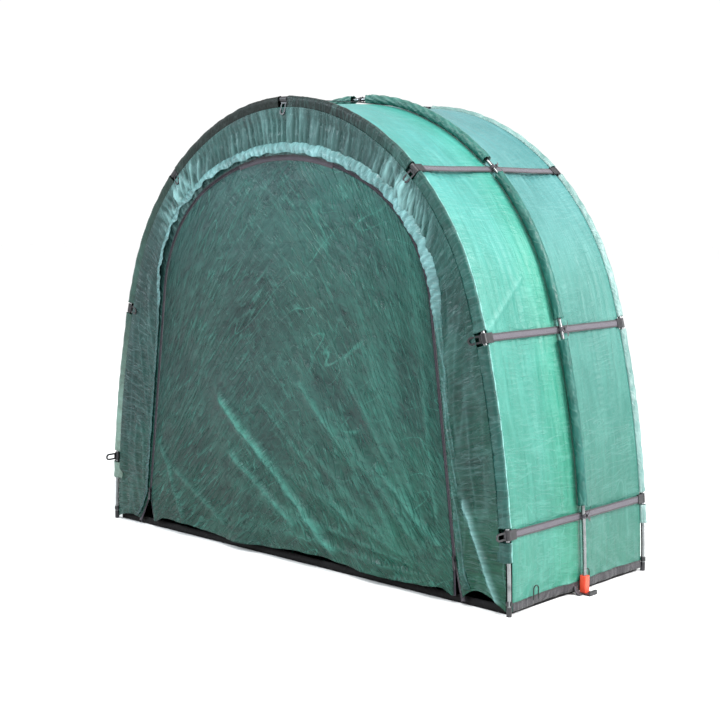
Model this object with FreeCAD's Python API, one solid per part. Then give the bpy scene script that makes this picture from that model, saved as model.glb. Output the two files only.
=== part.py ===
import FreeCAD, Part
import math
import os

# An arched storage shelter of woven polyethylene tarp on three pole hoops.
# Row frame: X across the width, Y along the depth with the door at -Y, Z up from the ground.
# The origin is on the ground, midway between the hoops' feet. Lengths are in millimetres.

Vector = FreeCAD.Vector

# ---- driving dimensions: hoops ----
hoop_half_span = 990.0       # centre line of a front or rear pole at the ground
hoop_height = 1620.0         # centre line of a front or rear pole at the ridge
hoop_pitch = 380.0           # distance from one hoop to the next
crown_radius = 820.0
crown_angle = 22.0           # from the ridge to the start of the shoulder arc, degrees
shoulder_angle = 73.3        # from the ridge to the start of the leg arc, degrees

# ---- driving dimensions: poles ----
pole_diameter = 13.0
pole_wall = 1.0
pole_sections = 5
spigot_length = 45.0
spigot_clearance = 0.1
spigot_wall = 0.8
neck_length = 3.0
joint_gap = 0.3
shock_cord_diameter = 3.0
cap_height = 30.0
cap_wall = 1.8
cap_floor = 5.0
socket_clearance = 0.15

# ---- driving dimensions: cover ----
fabric = 1.5                 # woven tarp with its folds, as a plain closed sheet
seam_gap = 0.4               # between pieces that are sewn together
ground_clearance = 12.0      # lower edge of the walls
sleeve_clearance = 0.8
sleeve_seam_depth = 52.0     # from the pole's centre line to the inner seam
sleeve_seam_thickness = 3.0
sleeve_flange = 16.0
sleeve_end_rise = 170.0      # the sleeves stop this far above the ground
sleeve_gap_margin = 6.0      # open sleeve each side of a strap's hook
mid_sleeve_slack = 7.5       # the middle sleeve is loose on its pole
mid_sleeve_lift = 1.75       # and clears the cover by this much
mid_sleeve_margin = 22.5     # open middle sleeve each side of a strap
pole_side_gap = 12.0         # from the pole's centre line to the fabric below the sleeve
hem_width = 28.0
floor_thickness = 1.5
floor_upstand = 30.0
floor_inset = 14.0           # from a pole's centre line to the tray's edge

# ---- driving dimensions: door and zip ----
door_top_margin = 195.0      # from the hoop's centre line down to the zip's crown
door_side_margin = 200.76    # and in to the zip's leg, at the ground
door_crown_radius = 850.0
door_crown_angle = 28.0
door_leg_lean = 7.5
door_ground_clearance = 25.0
zip_slit = 2.0               # from the zip's middle line to either fabric edge
zip_coil_inner = 1.0
zip_coil_outer = 4.0
zip_coil_thickness = 2.4
zip_tape_width = 16.0
zip_tape_thickness = 1.2
zip_stop_half_width = 230.0  # each zip ends this far from the middle of the crown
flap_inner = 9.0
flap_outer = 48.0

# ---- driving dimensions: slider and pull ----
slider_rest_height = 145.0
slider_width = 14.0
slider_length = 18.0
slider_plate = 2.2
slider_post = 1.2
slider_gap = 0.5
lug_gap = 5.0
lug_width = 2.0
lug_length = 6.0
lug_rise = 5.0
lug_inset = 1.0
pull_pin_radius = 0.9
pull_pin_clearance = 0.05
pull_pin_stand_off = 3.0
pull_hub_radius = 2.0
pull_side_clearance = 0.2
pull_length = 42.0
pull_width = 10.0
pull_thickness = 1.6
pull_hole_radius = 2.5
pull_neck_length = 14.0

# ---- driving dimensions: straps and their fittings ----
strap_width = 25.0
strap_thickness = 1.5
lowest_strap_rise = 255.0            # along the pole, above the ground
strap_shares = (0.353, 0.674, 1.0)   # of the way from the ridge to the lowest strap
strap_end_height = 6.0               # strap above the cover's middle surface at a hook
strap_pole_gap = 1.75                # under the middle pole
strap_end_inset = 16.0               # from the pole's centre line to the strap's end
hook_side_wall = 3.1                 # each side of the slot that takes the strap
hook_wall = 3.4
hook_clearance = 0.4
hook_mouth = 9.0
hook_mouth_turn = -45.0              # the mouth faces inward and towards the middle
hook_tongue_length = 34.0
hook_tongue_height = 6.0
hook_slot_start = 14.0
hook_slot_clearance = 0.4
ring_length = 46.0
ring_width = 26.0
ring_bar = 6.0
ring_thickness = 4.0
ring_hang_angle = 75.0               # the upper rings hang down the face of the sleeve
tie_width = 12.0
tie_thickness = 1.4
knot_size = 12.0
knot_height = 9.0
knot_overlap = 1.0
tail_length = 46.0
tail_width = 6.0
tail_turns = (35.0, -30.0)
tail_drops = (14.0, 4.0)

# ---- driving dimensions: feet, tabs and loops ----
socket_width = 24.0
socket_depth = 24.0
socket_height = 55.0
socket_corner = 4.0
socket_floor = 4.0
base_length = 50.0
base_width = 42.0
base_thickness = 5.0
base_lip_height = 9.0
base_lip_width = 8.0
base_lip_thickness = 3.0
base_margin = 2.0            # the base sticks out inside the socket by this much
corner_inset = 27.0          # the cover's lower corners lie inside the poles by this much
corner_tab_width = 14.0
corner_hook_height = 14.0
corner_hook_bottom = 34.0
corner_hook_reach = 22.0
tab_thickness = 2.0
foot_tab_width = 20.0
loop_places = (-250.0, 30.0)
loop_radius = 13.0
loop_cord_radius = 2.0
loop_height = 62.0           # where the loop's legs turn into its arch
loop_stand_off = 6.0
loop_root = 10.0             # the legs start this far below the hem tape's top edge

pole_radius = pole_diameter / 2
bore_radius = pole_radius - pole_wall
half_fabric = fabric / 2
front_y = -hoop_pitch
rear_y = hoop_pitch
mid_sleeve_radius = pole_radius + mid_sleeve_slack + fabric
mid_hoop_rise = mid_sleeve_radius + half_fabric + mid_sleeve_lift
strap_mid_height = mid_hoop_rise - pole_radius - strap_thickness / 2 - strap_pole_gap
hook_width = strap_width + 2 * (hook_slot_clearance + hook_side_wall)
sleeve_gap = hook_width + 2 * sleeve_gap_margin
mid_sleeve_gap = strap_width + 2 * mid_sleeve_margin
door_crown_height = hoop_height - door_top_margin
door_foot_half_width = hoop_half_span - door_side_margin


# ---- the hoop's centre line: crown, shoulders and legs as tangent arcs ----
def hoop_arcs():
    """Arcs from the left foot to the right foot: (centre x, centre z, radius, start, end), in radians."""
    a1 = math.radians(crown_angle)
    a2 = math.radians(shoulder_angle)
    span_left = hoop_half_span - crown_radius * math.sin(a1)
    drop_left = hoop_height - crown_radius * (1 - math.cos(a1))
    m11 = math.sin(a2) - math.sin(a1)
    m12 = 1 - math.sin(a2)
    m21 = math.cos(a1) - math.cos(a2)
    m22 = math.cos(a2)
    det = m11 * m22 - m12 * m21
    shoulder_radius = (span_left * m22 - m12 * drop_left) / det
    leg_radius = (m11 * drop_left - m21 * span_left) / det
    c1x = 0.0
    c1z = hoop_height - crown_radius
    c2x = c1x + (crown_radius - shoulder_radius) * math.sin(a1)
    c2z = c1z + (crown_radius - shoulder_radius) * math.cos(a1)
    c3x = c2x + (shoulder_radius - leg_radius) * math.sin(a2)
    c3z = c2z + (shoulder_radius - leg_radius) * math.cos(a2)
    quarter = math.pi / 2
    return [
        (-c3x, c3z, leg_radius, -quarter, -a2),
        (-c2x, c2z, shoulder_radius, -a2, -a1),
        (c1x, c1z, crown_radius, -a1, a1),
        (c2x, c2z, shoulder_radius, a1, a2),
        (c3x, c3z, leg_radius, a2, quarter),
    ]


ARCS = hoop_arcs()
hoop_half_length = sum(r * (end - start) for _, _, r, start, end in ARCS) / 2


def hoop_spans(s0, s1):
    """The pieces of the arcs between two distances from the ridge, negative on the left."""
    spans = []
    arc_start = -hoop_half_length
    for cx, cz, radius, start, end in ARCS:
        arc_end = arc_start + radius * (end - start)
        low = max(s0, arc_start)
        high = min(s1, arc_end)
        if high - low > 1e-6:
            span_start = start + (low - arc_start) / radius
            span_end = start + (high - arc_start) / radius
            spans.append((cx, cz, radius, span_start, span_end))
        arc_start = arc_end
    return spans


def hoop_place(s):
    """Point, outward normal and tangent of the centre line at a distance from the ridge."""
    near = 0.001
    low = min(s, hoop_half_length - near)
    cx, cz, radius, start, _ = hoop_spans(low, low + near)[0]
    normal = Vector(math.sin(start), 0, math.cos(start))
    tangent = Vector(math.cos(start), 0, -math.sin(start))
    return Vector(cx, 0, cz) + normal * radius, normal, tangent


def joined(shapes):
    """One shape fused from several that touch or overlap."""
    result = shapes[0]
    if len(shapes) > 1:
        result = result.fuse(shapes[1:]).removeSplitter()
    return result


def sweep(profile, s0, s1):
    """Carry a profile, a face drawn as X = out from the centre line and Y = depth, along the hoop."""
    pieces = []
    for cx, cz, radius, start, end in hoop_spans(s0, s1):
        face = profile.copy()
        face.rotate(Vector(0, 0, 0), Vector(0, 1, 0), -90)
        face.translate(Vector(cx, 0, cz + radius))
        centre = Vector(cx, 0, cz)
        face.rotate(centre, Vector(0, 1, 0), math.degrees(start))
        pieces.append(face.revolve(centre, Vector(0, 1, 0), math.degrees(end - start)))
    return joined(pieces)


def disc(radius, out=0.0, y=0.0):
    edge = Part.makeCircle(radius, Vector(out, y, 0))
    return Part.Face(Part.Wire([edge]))


def ring(outer, inner, out=0.0, y=0.0):
    return disc(outer, out, y).cut(disc(inner, out, y))


def rectangle(out0, out1, y0, y1):
    corners = [Vector(out0, y0, 0), Vector(out1, y0, 0), Vector(out1, y1, 0), Vector(out0, y1, 0)]
    return Part.Face(Part.makePolygon(corners + corners[:1]))


def block(x0, x1, y0, y1, z0, z1):
    return Part.makeBox(x1 - x0, y1 - y0, z1 - z0, Vector(x0, y0, z0))


def on_hoop(shape, s, out=0.0):
    """Move a piece drawn with X along the hoop, Y depth and Z outward to its place on the hoop."""
    point, normal, tangent = hoop_place(s)
    across = Vector(0, 1, 0)
    place = point + normal * out
    matrix = FreeCAD.Matrix(
        tangent.x, across.x, normal.x, place.x,
        tangent.y, across.y, normal.y, place.y,
        tangent.z, across.z, normal.z, place.z,
        0, 0, 0, 1)
    moved = shape.copy()
    moved.Placement = FreeCAD.Placement(matrix) * shape.Placement
    return moved


def group(shapes):
    """Separate solids kept together in one node."""
    solids = [solid for shape in shapes for solid in shape.Solids]
    return Part.makeCompound(solids)


def both_sides(shape):
    return shape, shape.mirror(Vector(0, 0, 0), Vector(1, 0, 0))


# ---- poles ----
def pole_section(y, rise, index):
    """One tube of a hoop, with its narrowed spigot in the next tube's bore."""
    half = hoop_half_length - (cap_floor if rise == 0 else base_thickness + socket_floor)
    length = 2 * half / pole_sections
    start = -half + index * length
    end = start + length
    last = index == pole_sections - 1
    if last:
        return sweep(ring(pole_radius, bore_radius, rise, y), start, end)
    spigot_radius = bore_radius - spigot_clearance
    spigot_bore = spigot_radius - spigot_wall
    shoulder = end - joint_gap
    tube = sweep(ring(pole_radius, bore_radius, rise, y), start, shoulder - neck_length)
    neck = sweep(ring(pole_radius, spigot_bore, rise, y), shoulder - neck_length, shoulder)
    spigot = sweep(ring(spigot_radius, spigot_bore, rise, y), shoulder, end + spigot_length)
    return joined([tube, neck, spigot])


def shock_cord(y, rise):
    half = hoop_half_length - cap_floor - socket_floor - base_thickness
    return sweep(disc(shock_cord_diameter / 2, rise, y), -half, half)


def pole_end_cap(y, side):
    """Plastic cup on the foot of a front or rear pole."""
    inner = pole_radius + socket_clearance
    outer = inner + cap_wall
    foot = hoop_half_length
    cup_from = sorted((side * (foot - cap_height), side * (foot - cap_floor)))
    floor_from = sorted((side * (foot - cap_floor), side * foot))
    cup = sweep(ring(outer, inner, 0, y), *cup_from)
    floor = sweep(disc(outer, 0, y), *floor_from)
    return joined([cup, floor])


# ---- straps: places along the hoop ----
lowest_strap = hoop_half_length - lowest_strap_rise
strap_places = [share * lowest_strap for share in strap_shares]
all_places = [0.0] + [side * s for s in strap_places for side in (-1, 1)]


# ---- sleeves ----
def edge_sleeve_profile(y, inward):
    """Section of a front or rear sleeve: a channel round the pole, its inner seam and its wall flange."""
    channel = pole_radius + sleeve_clearance
    half_seam = sleeve_seam_thickness / 2
    shell = disc(channel + fabric, 0, y)
    seam = rectangle(-sleeve_seam_depth, -channel, y - half_seam, y + half_seam)
    flange_ends = sorted((y + inward * channel, y + inward * sleeve_flange))
    flange = rectangle(-half_fabric, half_fabric, *flange_ends)
    return shell.fuse([seam, flange]).removeSplitter().cut(disc(channel, 0, y))


def mid_sleeve_profile():
    return ring(mid_sleeve_radius, mid_sleeve_radius - fabric, mid_hoop_rise, 0)


def sleeve_runs(gap, foot_end):
    """Start and end of each stretch of sleeve on one side, from the ridge down."""
    stops = [0.0] + strap_places
    runs = [(a + gap / 2, b - gap / 2) for a, b in zip(stops, stops[1:])]
    if foot_end is not None:
        runs.append((stops[-1] + gap / 2, foot_end))
    return runs


def sleeve(profile, gap, foot_end, side):
    pieces = []
    for near, far in sleeve_runs(gap, foot_end):
        low, high = sorted((side * near, side * far))
        pieces += sweep(profile.Faces[0], low, high).Solids
    return group(pieces)


# ---- the flat front and rear of the cover ----
def hoop_plate(out, y0, y1):
    """The flat area inside the hoop line, offset by out, from the ground up."""
    edges = []
    for cx, cz, radius, start, end in ARCS:
        r = radius + out
        points = []
        for angle in (start, (start + end) / 2, end):
            points.append(Vector(cx + r * math.sin(angle), y0, cz + r * math.cos(angle)))
        edges.append(Part.Arc(*points).toShape())
    foot_right = edges[-1].Vertexes[-1].Point
    foot_left = edges[0].Vertexes[0].Point
    edges.append(Part.LineSegment(foot_right, foot_left).toShape())
    return Part.Face(Part.Wire(edges)).extrude(Vector(0, y1 - y0, 0))


def end_wall(y):
    """A flat end of the cover: up to the sleeve seam, and out to the pole below the sleeve."""
    y0 = y - half_fabric
    y1 = y + half_fabric
    wide = hoop_half_span * 2
    top = hoop_height * 2
    main = hoop_plate(-(sleeve_seam_depth + seam_gap), y0, y1)
    sleeve_end, outward, _ = hoop_place(hoop_half_length - sleeve_end_rise)
    skirt_top = sleeve_end.z - sleeve_seam_depth * outward.z - seam_gap
    skirt = hoop_plate(-pole_side_gap, y0, y1).common(block(-wide, wide, y0 - 1, y1 + 1, 0, skirt_top))
    below = block(-wide, wide, y0 - 1, y1 + 1, -top, ground_clearance)
    return joined([main, skirt]).cut(below)


def door_shoulder():
    """Radius of the door's shoulder arcs, which takes the legs to the door's width at the ground."""
    a1 = math.radians(door_crown_angle)
    a2 = math.radians(90 - door_leg_lean)
    lean = math.tan(math.radians(door_leg_lean))
    crown_end_x = door_crown_radius * math.sin(a1)
    crown_end_z = door_crown_height - door_crown_radius * (1 - math.cos(a1))
    width_left = door_foot_half_width - crown_end_x - crown_end_z * lean
    width_for_each = math.sin(a2) - math.sin(a1) - (math.cos(a1) - math.cos(a2)) * lean
    return width_left / width_for_each


door_shoulder_radius = door_shoulder()


def door_plate(out, y0, y1, bottom):
    """The door's outline, offset by out: two leaning legs, two shoulders and a crown."""
    a1 = math.radians(door_crown_angle)
    a2 = math.radians(90 - door_leg_lean)
    c1 = Vector(0, y0, door_crown_height - door_crown_radius)
    step = door_crown_radius - door_shoulder_radius
    c2 = c1 + Vector(step * math.sin(a1), 0, step * math.cos(a1))

    def on_arc(centre, radius, angle, side):
        return Vector(side * (centre.x + radius * math.sin(angle)), y0, centre.z + radius * math.cos(angle))

    crown = door_crown_radius + out
    shoulder = door_shoulder_radius + out
    top = Vector(0, y0, c1.z + crown)
    halves = []
    for side in (-1, 1):
        start = on_arc(c1, crown, a1, side)
        middle = on_arc(c2, shoulder, (a1 + a2) / 2, side)
        leg_top = on_arc(c2, shoulder, a2, side)
        foot_x = abs(leg_top.x) + (leg_top.z - bottom) * math.tan(math.radians(door_leg_lean))
        halves.append((start, middle, leg_top, Vector(side * foot_x, y0, bottom)))
    left, right = halves
    edges = [
        Part.LineSegment(left[3], left[2]).toShape(),
        Part.Arc(left[2], left[1], left[0]).toShape(),
        Part.Arc(left[0], top, right[0]).toShape(),
        Part.Arc(right[0], right[1], right[2]).toShape(),
        Part.LineSegment(right[2], right[3]).toShape(),
        Part.LineSegment(right[3], left[3]).toShape(),
    ]
    return Part.Face(Part.Wire(edges)).extrude(Vector(0, y1 - y0, 0))


def door_strip(inner, outer, y0, y1, bottom):
    """A band that follows the door's outline, from one offset to another."""
    band = door_plate(outer, y0, y1, bottom)
    return band.cut(door_plate(inner, y0 - 1, y1 + 1, bottom - 1))


def zip_tape(side_of_zip, bottom):
    """Tape and coil for one side of both zips: +1 on the fixed surround, -1 on the door."""
    face = front_y + half_fabric + seam_gap
    tape_ends = sorted((side_of_zip * zip_coil_inner, side_of_zip * zip_tape_width))
    coil_ends = sorted((side_of_zip * zip_coil_inner, side_of_zip * zip_coil_outer))
    tape = door_strip(*tape_ends, face, face + zip_tape_thickness, bottom)
    coil = door_strip(*coil_ends, face, face + zip_coil_thickness, bottom)
    middle = block(-zip_stop_half_width, zip_stop_half_width, face - 1, face + zip_coil_thickness + 1,
                   0, door_crown_height + flap_outer)
    return group([joined([tape, coil]).cut(middle)])


def leg_line_x(z):
    """Half width of the zip's middle line on the straight leg, at a height."""
    a1 = math.radians(door_crown_angle)
    a2 = math.radians(90 - door_leg_lean)
    step = door_crown_radius - door_shoulder_radius
    top_x = step * math.sin(a1) + door_shoulder_radius * math.sin(a2)
    top_z = door_crown_height - door_crown_radius + step * math.cos(a1)
    top_z += door_shoulder_radius * math.cos(a2)
    return top_x + (top_z - z) * math.tan(math.radians(door_leg_lean))


# ---- slider and pull, drawn with Z up the zip and X away from the door ----
slider_face = front_y - half_fabric - slider_gap
pin_y = slider_face - slider_plate - pull_pin_stand_off
pin_z = slider_length / 2 - lug_length / 2 - lug_inset


def on_leg(shape, side):
    """Place a piece on the zip's leg at the slider's rest height: +1 right, -1 left."""
    moved = shape if side > 0 else shape.mirror(Vector(0, 0, 0), Vector(1, 0, 0))
    moved = moved.copy()
    moved.rotate(Vector(0, 0, 0), Vector(0, 1, 0), -side * door_leg_lean)
    moved.translate(Vector(side * leg_line_x(slider_rest_height), 0, slider_rest_height))
    return moved


def slider():
    """Front plate, the post between the coils, and a rear wing behind the door's tape only."""
    half_w = slider_width / 2
    half_l = slider_length / 2
    half_post = slider_post / 2
    coil_back = front_y + half_fabric + seam_gap + zip_coil_thickness
    wing_front = coil_back + slider_gap
    plate = block(-half_w, half_w, slider_face - slider_plate, slider_face, -half_l, half_l)
    post = block(-half_post, half_post, slider_face, wing_front, -half_l / 2, half_l / 2)
    wing = block(-half_w, half_post, wing_front, wing_front + slider_plate, -half_l, half_l)
    lug_z0 = pin_z - lug_length / 2
    lugs = []
    for side in (-1, 1):
        x0, x1 = sorted((side * lug_gap / 2, side * (lug_gap / 2 + lug_width)))
        lug = block(x0, x1, slider_face - slider_plate - lug_rise, slider_face - slider_plate,
                    lug_z0, lug_z0 + lug_length)
        lugs.append(lug)
    pin = Part.makeCylinder(pull_pin_radius, lug_gap, Vector(-lug_gap / 2, pin_y, pin_z), Vector(1, 0, 0))
    return joined([plate, post, wing, pin] + lugs)


def pull():
    """The pull tab: an eye round the slider's pin and a flat handle with a hole."""
    half_eye = lug_gap / 2 - pull_side_clearance
    half_t = pull_thickness / 2
    eye = Part.makeCylinder(pull_hub_radius, 2 * half_eye, Vector(-half_eye, pin_y, pin_z), Vector(1, 0, 0))
    neck_end = pin_z - pull_neck_length
    neck = block(-half_eye, half_eye, pin_y - half_t, pin_y + half_t, neck_end, pin_z)
    tab_end = pin_z - pull_length
    tab = block(-pull_width / 2, pull_width / 2, pin_y - half_t, pin_y + half_t, tab_end, neck_end)
    bore = Part.makeCylinder(pull_pin_radius + pull_pin_clearance, lug_gap,
                             Vector(-lug_gap / 2, pin_y, pin_z), Vector(1, 0, 0))
    hole_start = Vector(0, pin_y - 2 * pull_thickness, tab_end + 2 * pull_hole_radius)
    hole = Part.makeCylinder(pull_hole_radius, 4 * pull_thickness, hole_start, Vector(0, 1, 0))
    return joined([eye, neck, tab]).cut(bore).cut(hole)


# ---- straps and fittings, drawn with X along the hoop, Y depth and Z outward ----
def strap():
    """Webbing from the front hook, under the middle pole, to the rear hook."""
    half_t = strap_thickness / 2
    end = hoop_pitch - strap_end_inset
    line = [(-end, strap_end_height), (0.0, strap_mid_height), (end, strap_end_height)]
    upper = [Vector(-strap_width / 2, y, z + half_t) for y, z in line]
    lower = [Vector(-strap_width / 2, y, z - half_t) for y, z in reversed(line)]
    face = Part.Face(Part.makePolygon(upper + lower + upper[:1]))
    return face.extrude(Vector(strap_width, 0, 0))


def pole_clip(width, inner, outer, mouth_angle):
    """A C shaped clip round the pole, its mouth turned by an angle from +Y towards +Z."""
    start = Vector(-width / 2, 0, 0)
    shell = Part.makeCylinder(outer, width, start, Vector(1, 0, 0))
    bore = Part.makeCylinder(inner, width + 2, start - Vector(1, 0, 0), Vector(1, 0, 0))
    mouth = block(-width, width, 0, 2 * outer, -hook_mouth / 2, hook_mouth / 2)
    mouth.rotate(Vector(0, 0, 0), Vector(1, 0, 0), mouth_angle)
    return shell.cut(bore).cut(mouth)


def strap_clip():
    """Clip and slotted tongue that hold the strap's end, drawn for a front hoop."""
    inner = pole_radius + hook_clearance
    outer = inner + hook_wall
    half_w = hook_width / 2
    clip = pole_clip(hook_width, inner, outer, hook_mouth_turn)
    low = strap_end_height - hook_tongue_height / 2
    tongue = block(-half_w, half_w, 0, hook_tongue_length, low, low + hook_tongue_height)
    tongue = tongue.cut(Part.makeCylinder(inner, hook_width + 2, Vector(-half_w - 1, 0, 0), Vector(1, 0, 0)))
    half_slot = strap_width / 2 + hook_slot_clearance
    slot_t = strap_thickness / 2 + hook_slot_clearance
    slot = block(-half_slot, half_slot, hook_slot_start, hook_tongue_length + 1,
                 strap_end_height - slot_t, strap_end_height + slot_t)
    return joined([clip, tongue]).cut(slot)


def pull_ring(hang):
    """Flat oval ring on the outside of a front clip, turned down by an angle."""
    inner = pole_radius + hook_clearance
    outer = inner + hook_wall
    root = -(inner + hook_wall / 2)
    half_t = ring_thickness / 2
    half_w = ring_width / 2
    tip = -(outer + ring_length - half_w)
    body = block(-half_w, half_w, tip, root, -half_t, half_t)
    end = Part.makeCylinder(half_w, ring_thickness, Vector(0, tip, -half_t), Vector(0, 0, 1))
    hole_w = half_w - ring_bar
    hole_root = -(outer + ring_bar)
    hole_end = Part.makeCylinder(hole_w, ring_thickness * 2, Vector(0, tip, -ring_thickness), Vector(0, 0, 1))
    hole = block(-hole_w, hole_w, tip, hole_root, -ring_thickness, ring_thickness)
    made = joined([body, end]).cut(joined([hole, hole_end]))
    made.rotate(Vector(0, 0, 0), Vector(1, 0, 0), hang)
    return made


def front_hook(s):
    hang = 0.0 if abs(s) > strap_places[1] + 1 else ring_hang_angle
    return on_hoop(joined([strap_clip(), pull_ring(hang)]).translated(Vector(0, front_y, 0)), s)


def rear_hook(s):
    clip = strap_clip().mirror(Vector(0, 0, 0), Vector(0, 1, 0))
    return on_hoop(clip.translated(Vector(0, rear_y, 0)), s)


def mid_tie(s):
    """Tape sewn to the strap, over the middle pole, with its knot and two tails."""
    inner = pole_radius + hook_clearance
    outer = inner + tie_thickness
    half_w = tie_width / 2
    start = Vector(-half_w, 0, mid_hoop_rise)
    hoop = Part.makeCylinder(outer, tie_width, start, Vector(1, 0, 0))
    foot = strap_mid_height + strap_thickness / 2 + seam_gap
    legs = block(-half_w, half_w, -outer, outer, foot, mid_hoop_rise)
    hollow = Part.makeCylinder(inner, tie_width + 2, start - Vector(1, 0, 0), Vector(1, 0, 0))
    slot = block(-half_w - 1, half_w + 1, -inner, inner, foot - 1, mid_hoop_rise)
    knot_corner = Vector(-knot_size / 2, outer - knot_overlap, mid_hoop_rise)
    knot = Part.makeBox(knot_size, knot_size, knot_height, knot_corner)
    band = joined([hoop, legs]).cut(joined([hollow, slot]))
    tails = []
    for turn, drop in zip(tail_turns, tail_drops):
        tail = block(-tail_width / 2, tail_width / 2, 0, tail_length, 0, tie_thickness)
        tail.rotate(Vector(0, 0, 0), Vector(1, 0, 0), -drop)
        tail.rotate(Vector(0, 0, 0), Vector(0, 0, 1), turn)
        tail.translate(Vector(0, outer + knot_size / 2, mid_hoop_rise + knot_size / 2))
        tails.append(tail)
    return on_hoop(joined([band, knot] + tails), s)


# ---- feet and tabs ----
def mid_foot():
    """Socket block on the right foot of the middle hoop."""
    x = hoop_half_span + mid_hoop_rise
    body = block(x - socket_width / 2, x + socket_width / 2, -socket_depth / 2, socket_depth / 2,
                 base_thickness, base_thickness + socket_height)
    upright = [e for e in body.Edges if abs(e.Vertexes[0].Z - e.Vertexes[1].Z) > socket_height / 2]
    body = body.makeFillet(min(socket_corner, socket_width / 4), upright)
    bore_from = hoop_half_length - base_thickness - socket_floor - 2 * socket_height
    bore_to = hoop_half_length - base_thickness - socket_floor
    bore = sweep(disc(pole_radius + socket_clearance, mid_hoop_rise, 0), bore_from, bore_to)
    return body.cut(bore)


def mid_base():
    """Plate under the right socket, with a hooked lip on its outer end."""
    x = hoop_half_span + mid_hoop_rise
    inner = x - socket_width / 2 - base_margin
    plate = block(inner, inner + base_length, -base_width / 2, base_width / 2, 0, base_thickness)
    outer = inner + base_length
    post = block(outer - base_lip_width / 2, outer, -base_width / 2, base_width / 2,
                 base_thickness, base_thickness + base_lip_height)
    lip_top = base_thickness + base_lip_height
    back = block(outer - base_lip_width, outer, -base_width / 2, base_width / 2,
                 lip_top - base_lip_thickness, lip_top)
    return joined([plate, post, back])


def flat_tab(start, end, width, across):
    """A straight piece of webbing between two points, with its width along a direction."""
    along = (end - start).normalize()
    side = across.normalize()
    up = along.cross(side).normalize()
    corners = []
    for a, b in ((-0.5, -0.5), (0.5, -0.5), (0.5, 0.5), (-0.5, 0.5)):
        corners.append(start + side * (a * width) + up * (b * tab_thickness))
    face = Part.Face(Part.makePolygon(corners + corners[:1]))
    return face.extrude(end - start)


def corner_hook(side_x, side_y):
    """Clip on a front or rear pole above its cap, with a tongue towards the cover's corner."""
    inner = pole_radius + hook_clearance
    outer = inner + hook_wall
    half_height = corner_hook_height / 2
    bottom = Vector(0, 0, -half_height)
    shell = Part.makeCylinder(outer, corner_hook_height, bottom)
    mouth = block(-2 * outer, 0, -hook_mouth / 2, hook_mouth / 2, -half_height - 1, half_height + 1)
    tongue = block(0, corner_hook_reach, -hook_wall / 2, hook_wall / 2, -half_height, half_height)
    made = joined([shell, tongue])
    bore = Part.makeCylinder(inner, corner_hook_height + 2, bottom - Vector(0, 0, 1))
    made = made.cut(bore).cut(mouth)
    inward = math.degrees(math.atan2(-side_y, -side_x))
    made.rotate(Vector(0, 0, 0), Vector(0, 0, 1), inward)
    point, _, down = hoop_place(hoop_half_length - corner_hook_bottom - half_height)
    lean = math.degrees(math.atan2(-down.x, -down.z))
    made.rotate(Vector(0, 0, 0), Vector(0, 1, 0), side_x * lean)
    made.translate(Vector(side_x * point.x, side_y * hoop_pitch, point.z))
    return made


def corner_tab(side_x, side_y):
    """Webbing from the hook's tongue down to the cover's lower corner."""
    inward = Vector(-side_x, -side_y, 0).normalize()
    pole = Vector(side_x * hoop_half_span, side_y * hoop_pitch, 0)
    gap = seam_gap + tab_thickness
    start_height = Vector(0, 0, corner_hook_bottom + corner_tab_width / 2)
    end_height = Vector(0, 0, ground_clearance + tab_thickness)
    start = pole + inward * (corner_hook_reach + gap) + start_height
    end = pole + inward * (corner_inset * math.sqrt(2) + gap) + end_height
    return flat_tab(start, end, corner_tab_width, Vector(-inward.y, inward.x, 0))


def mid_foot_tab():
    """Webbing from the hem down to the base plate, in front of the right socket."""
    x = hoop_half_span + mid_hoop_rise - socket_width / 2
    y = -base_width / 2 - foot_tab_width / 2 - seam_gap
    start = Vector(hoop_half_span + tab_thickness + 2 * fabric, y, hem_width)
    end = Vector(x + socket_width, y, tab_thickness)
    return flat_tab(start, end, foot_tab_width, Vector(0, 1, 0))


def hem_loop(y):
    """A small cord loop that stands up from the hem, flat against the right wall."""
    path_x = hoop_half_span + loop_stand_off
    ring_face = disc(loop_cord_radius, loop_radius, 0)
    arch = ring_face.revolve(Vector(0, 0, 0), Vector(0, 1, 0), -180)
    arch.rotate(Vector(0, 0, 0), Vector(0, 0, 1), 90)
    arch.translate(Vector(path_x, y, loop_height))
    root = ground_clearance + hem_width - loop_root
    legs = []
    for side in (-1, 1):
        place = Vector(path_x, y + side * loop_radius, root)
        legs.append(Part.makeCylinder(loop_cord_radius, loop_height - root, place))
    return joined([arch] + legs)


# ---- floor ----
def groundsheet():
    """A tray: flat sheet with a turned-up edge on all four sides."""
    half_x = hoop_half_span - floor_inset
    half_y = hoop_pitch - floor_inset
    t = floor_thickness
    outer = block(-half_x, half_x, -half_y, half_y, 0, floor_upstand)
    inner = block(-half_x + t, half_x - t, -half_y + t, half_y - t, t, floor_upstand + 1)
    return outer.cut(inner)


def side_hem():
    """Tape over the lower edge of the right wall."""
    inner = half_fabric + seam_gap
    depth = hoop_pitch - sleeve_flange - seam_gap
    profile = rectangle(inner, inner + fabric, -depth, depth)
    high = hoop_half_length - ground_clearance
    return sweep(profile, high - hem_width, high)


def rear_hem():
    half = hoop_half_span - sleeve_seam_depth
    y0 = rear_y + half_fabric + seam_gap
    return block(-half, half, y0, y0 + fabric, ground_clearance, ground_clearance + hem_width)


def cover_panel(y0, y1):
    """A half of the roof and side walls, from hem to hem over the ridge."""
    foot = hoop_half_length - ground_clearance
    return sweep(rectangle(-half_fabric, half_fabric, y0, y1), -foot, foot)


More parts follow.
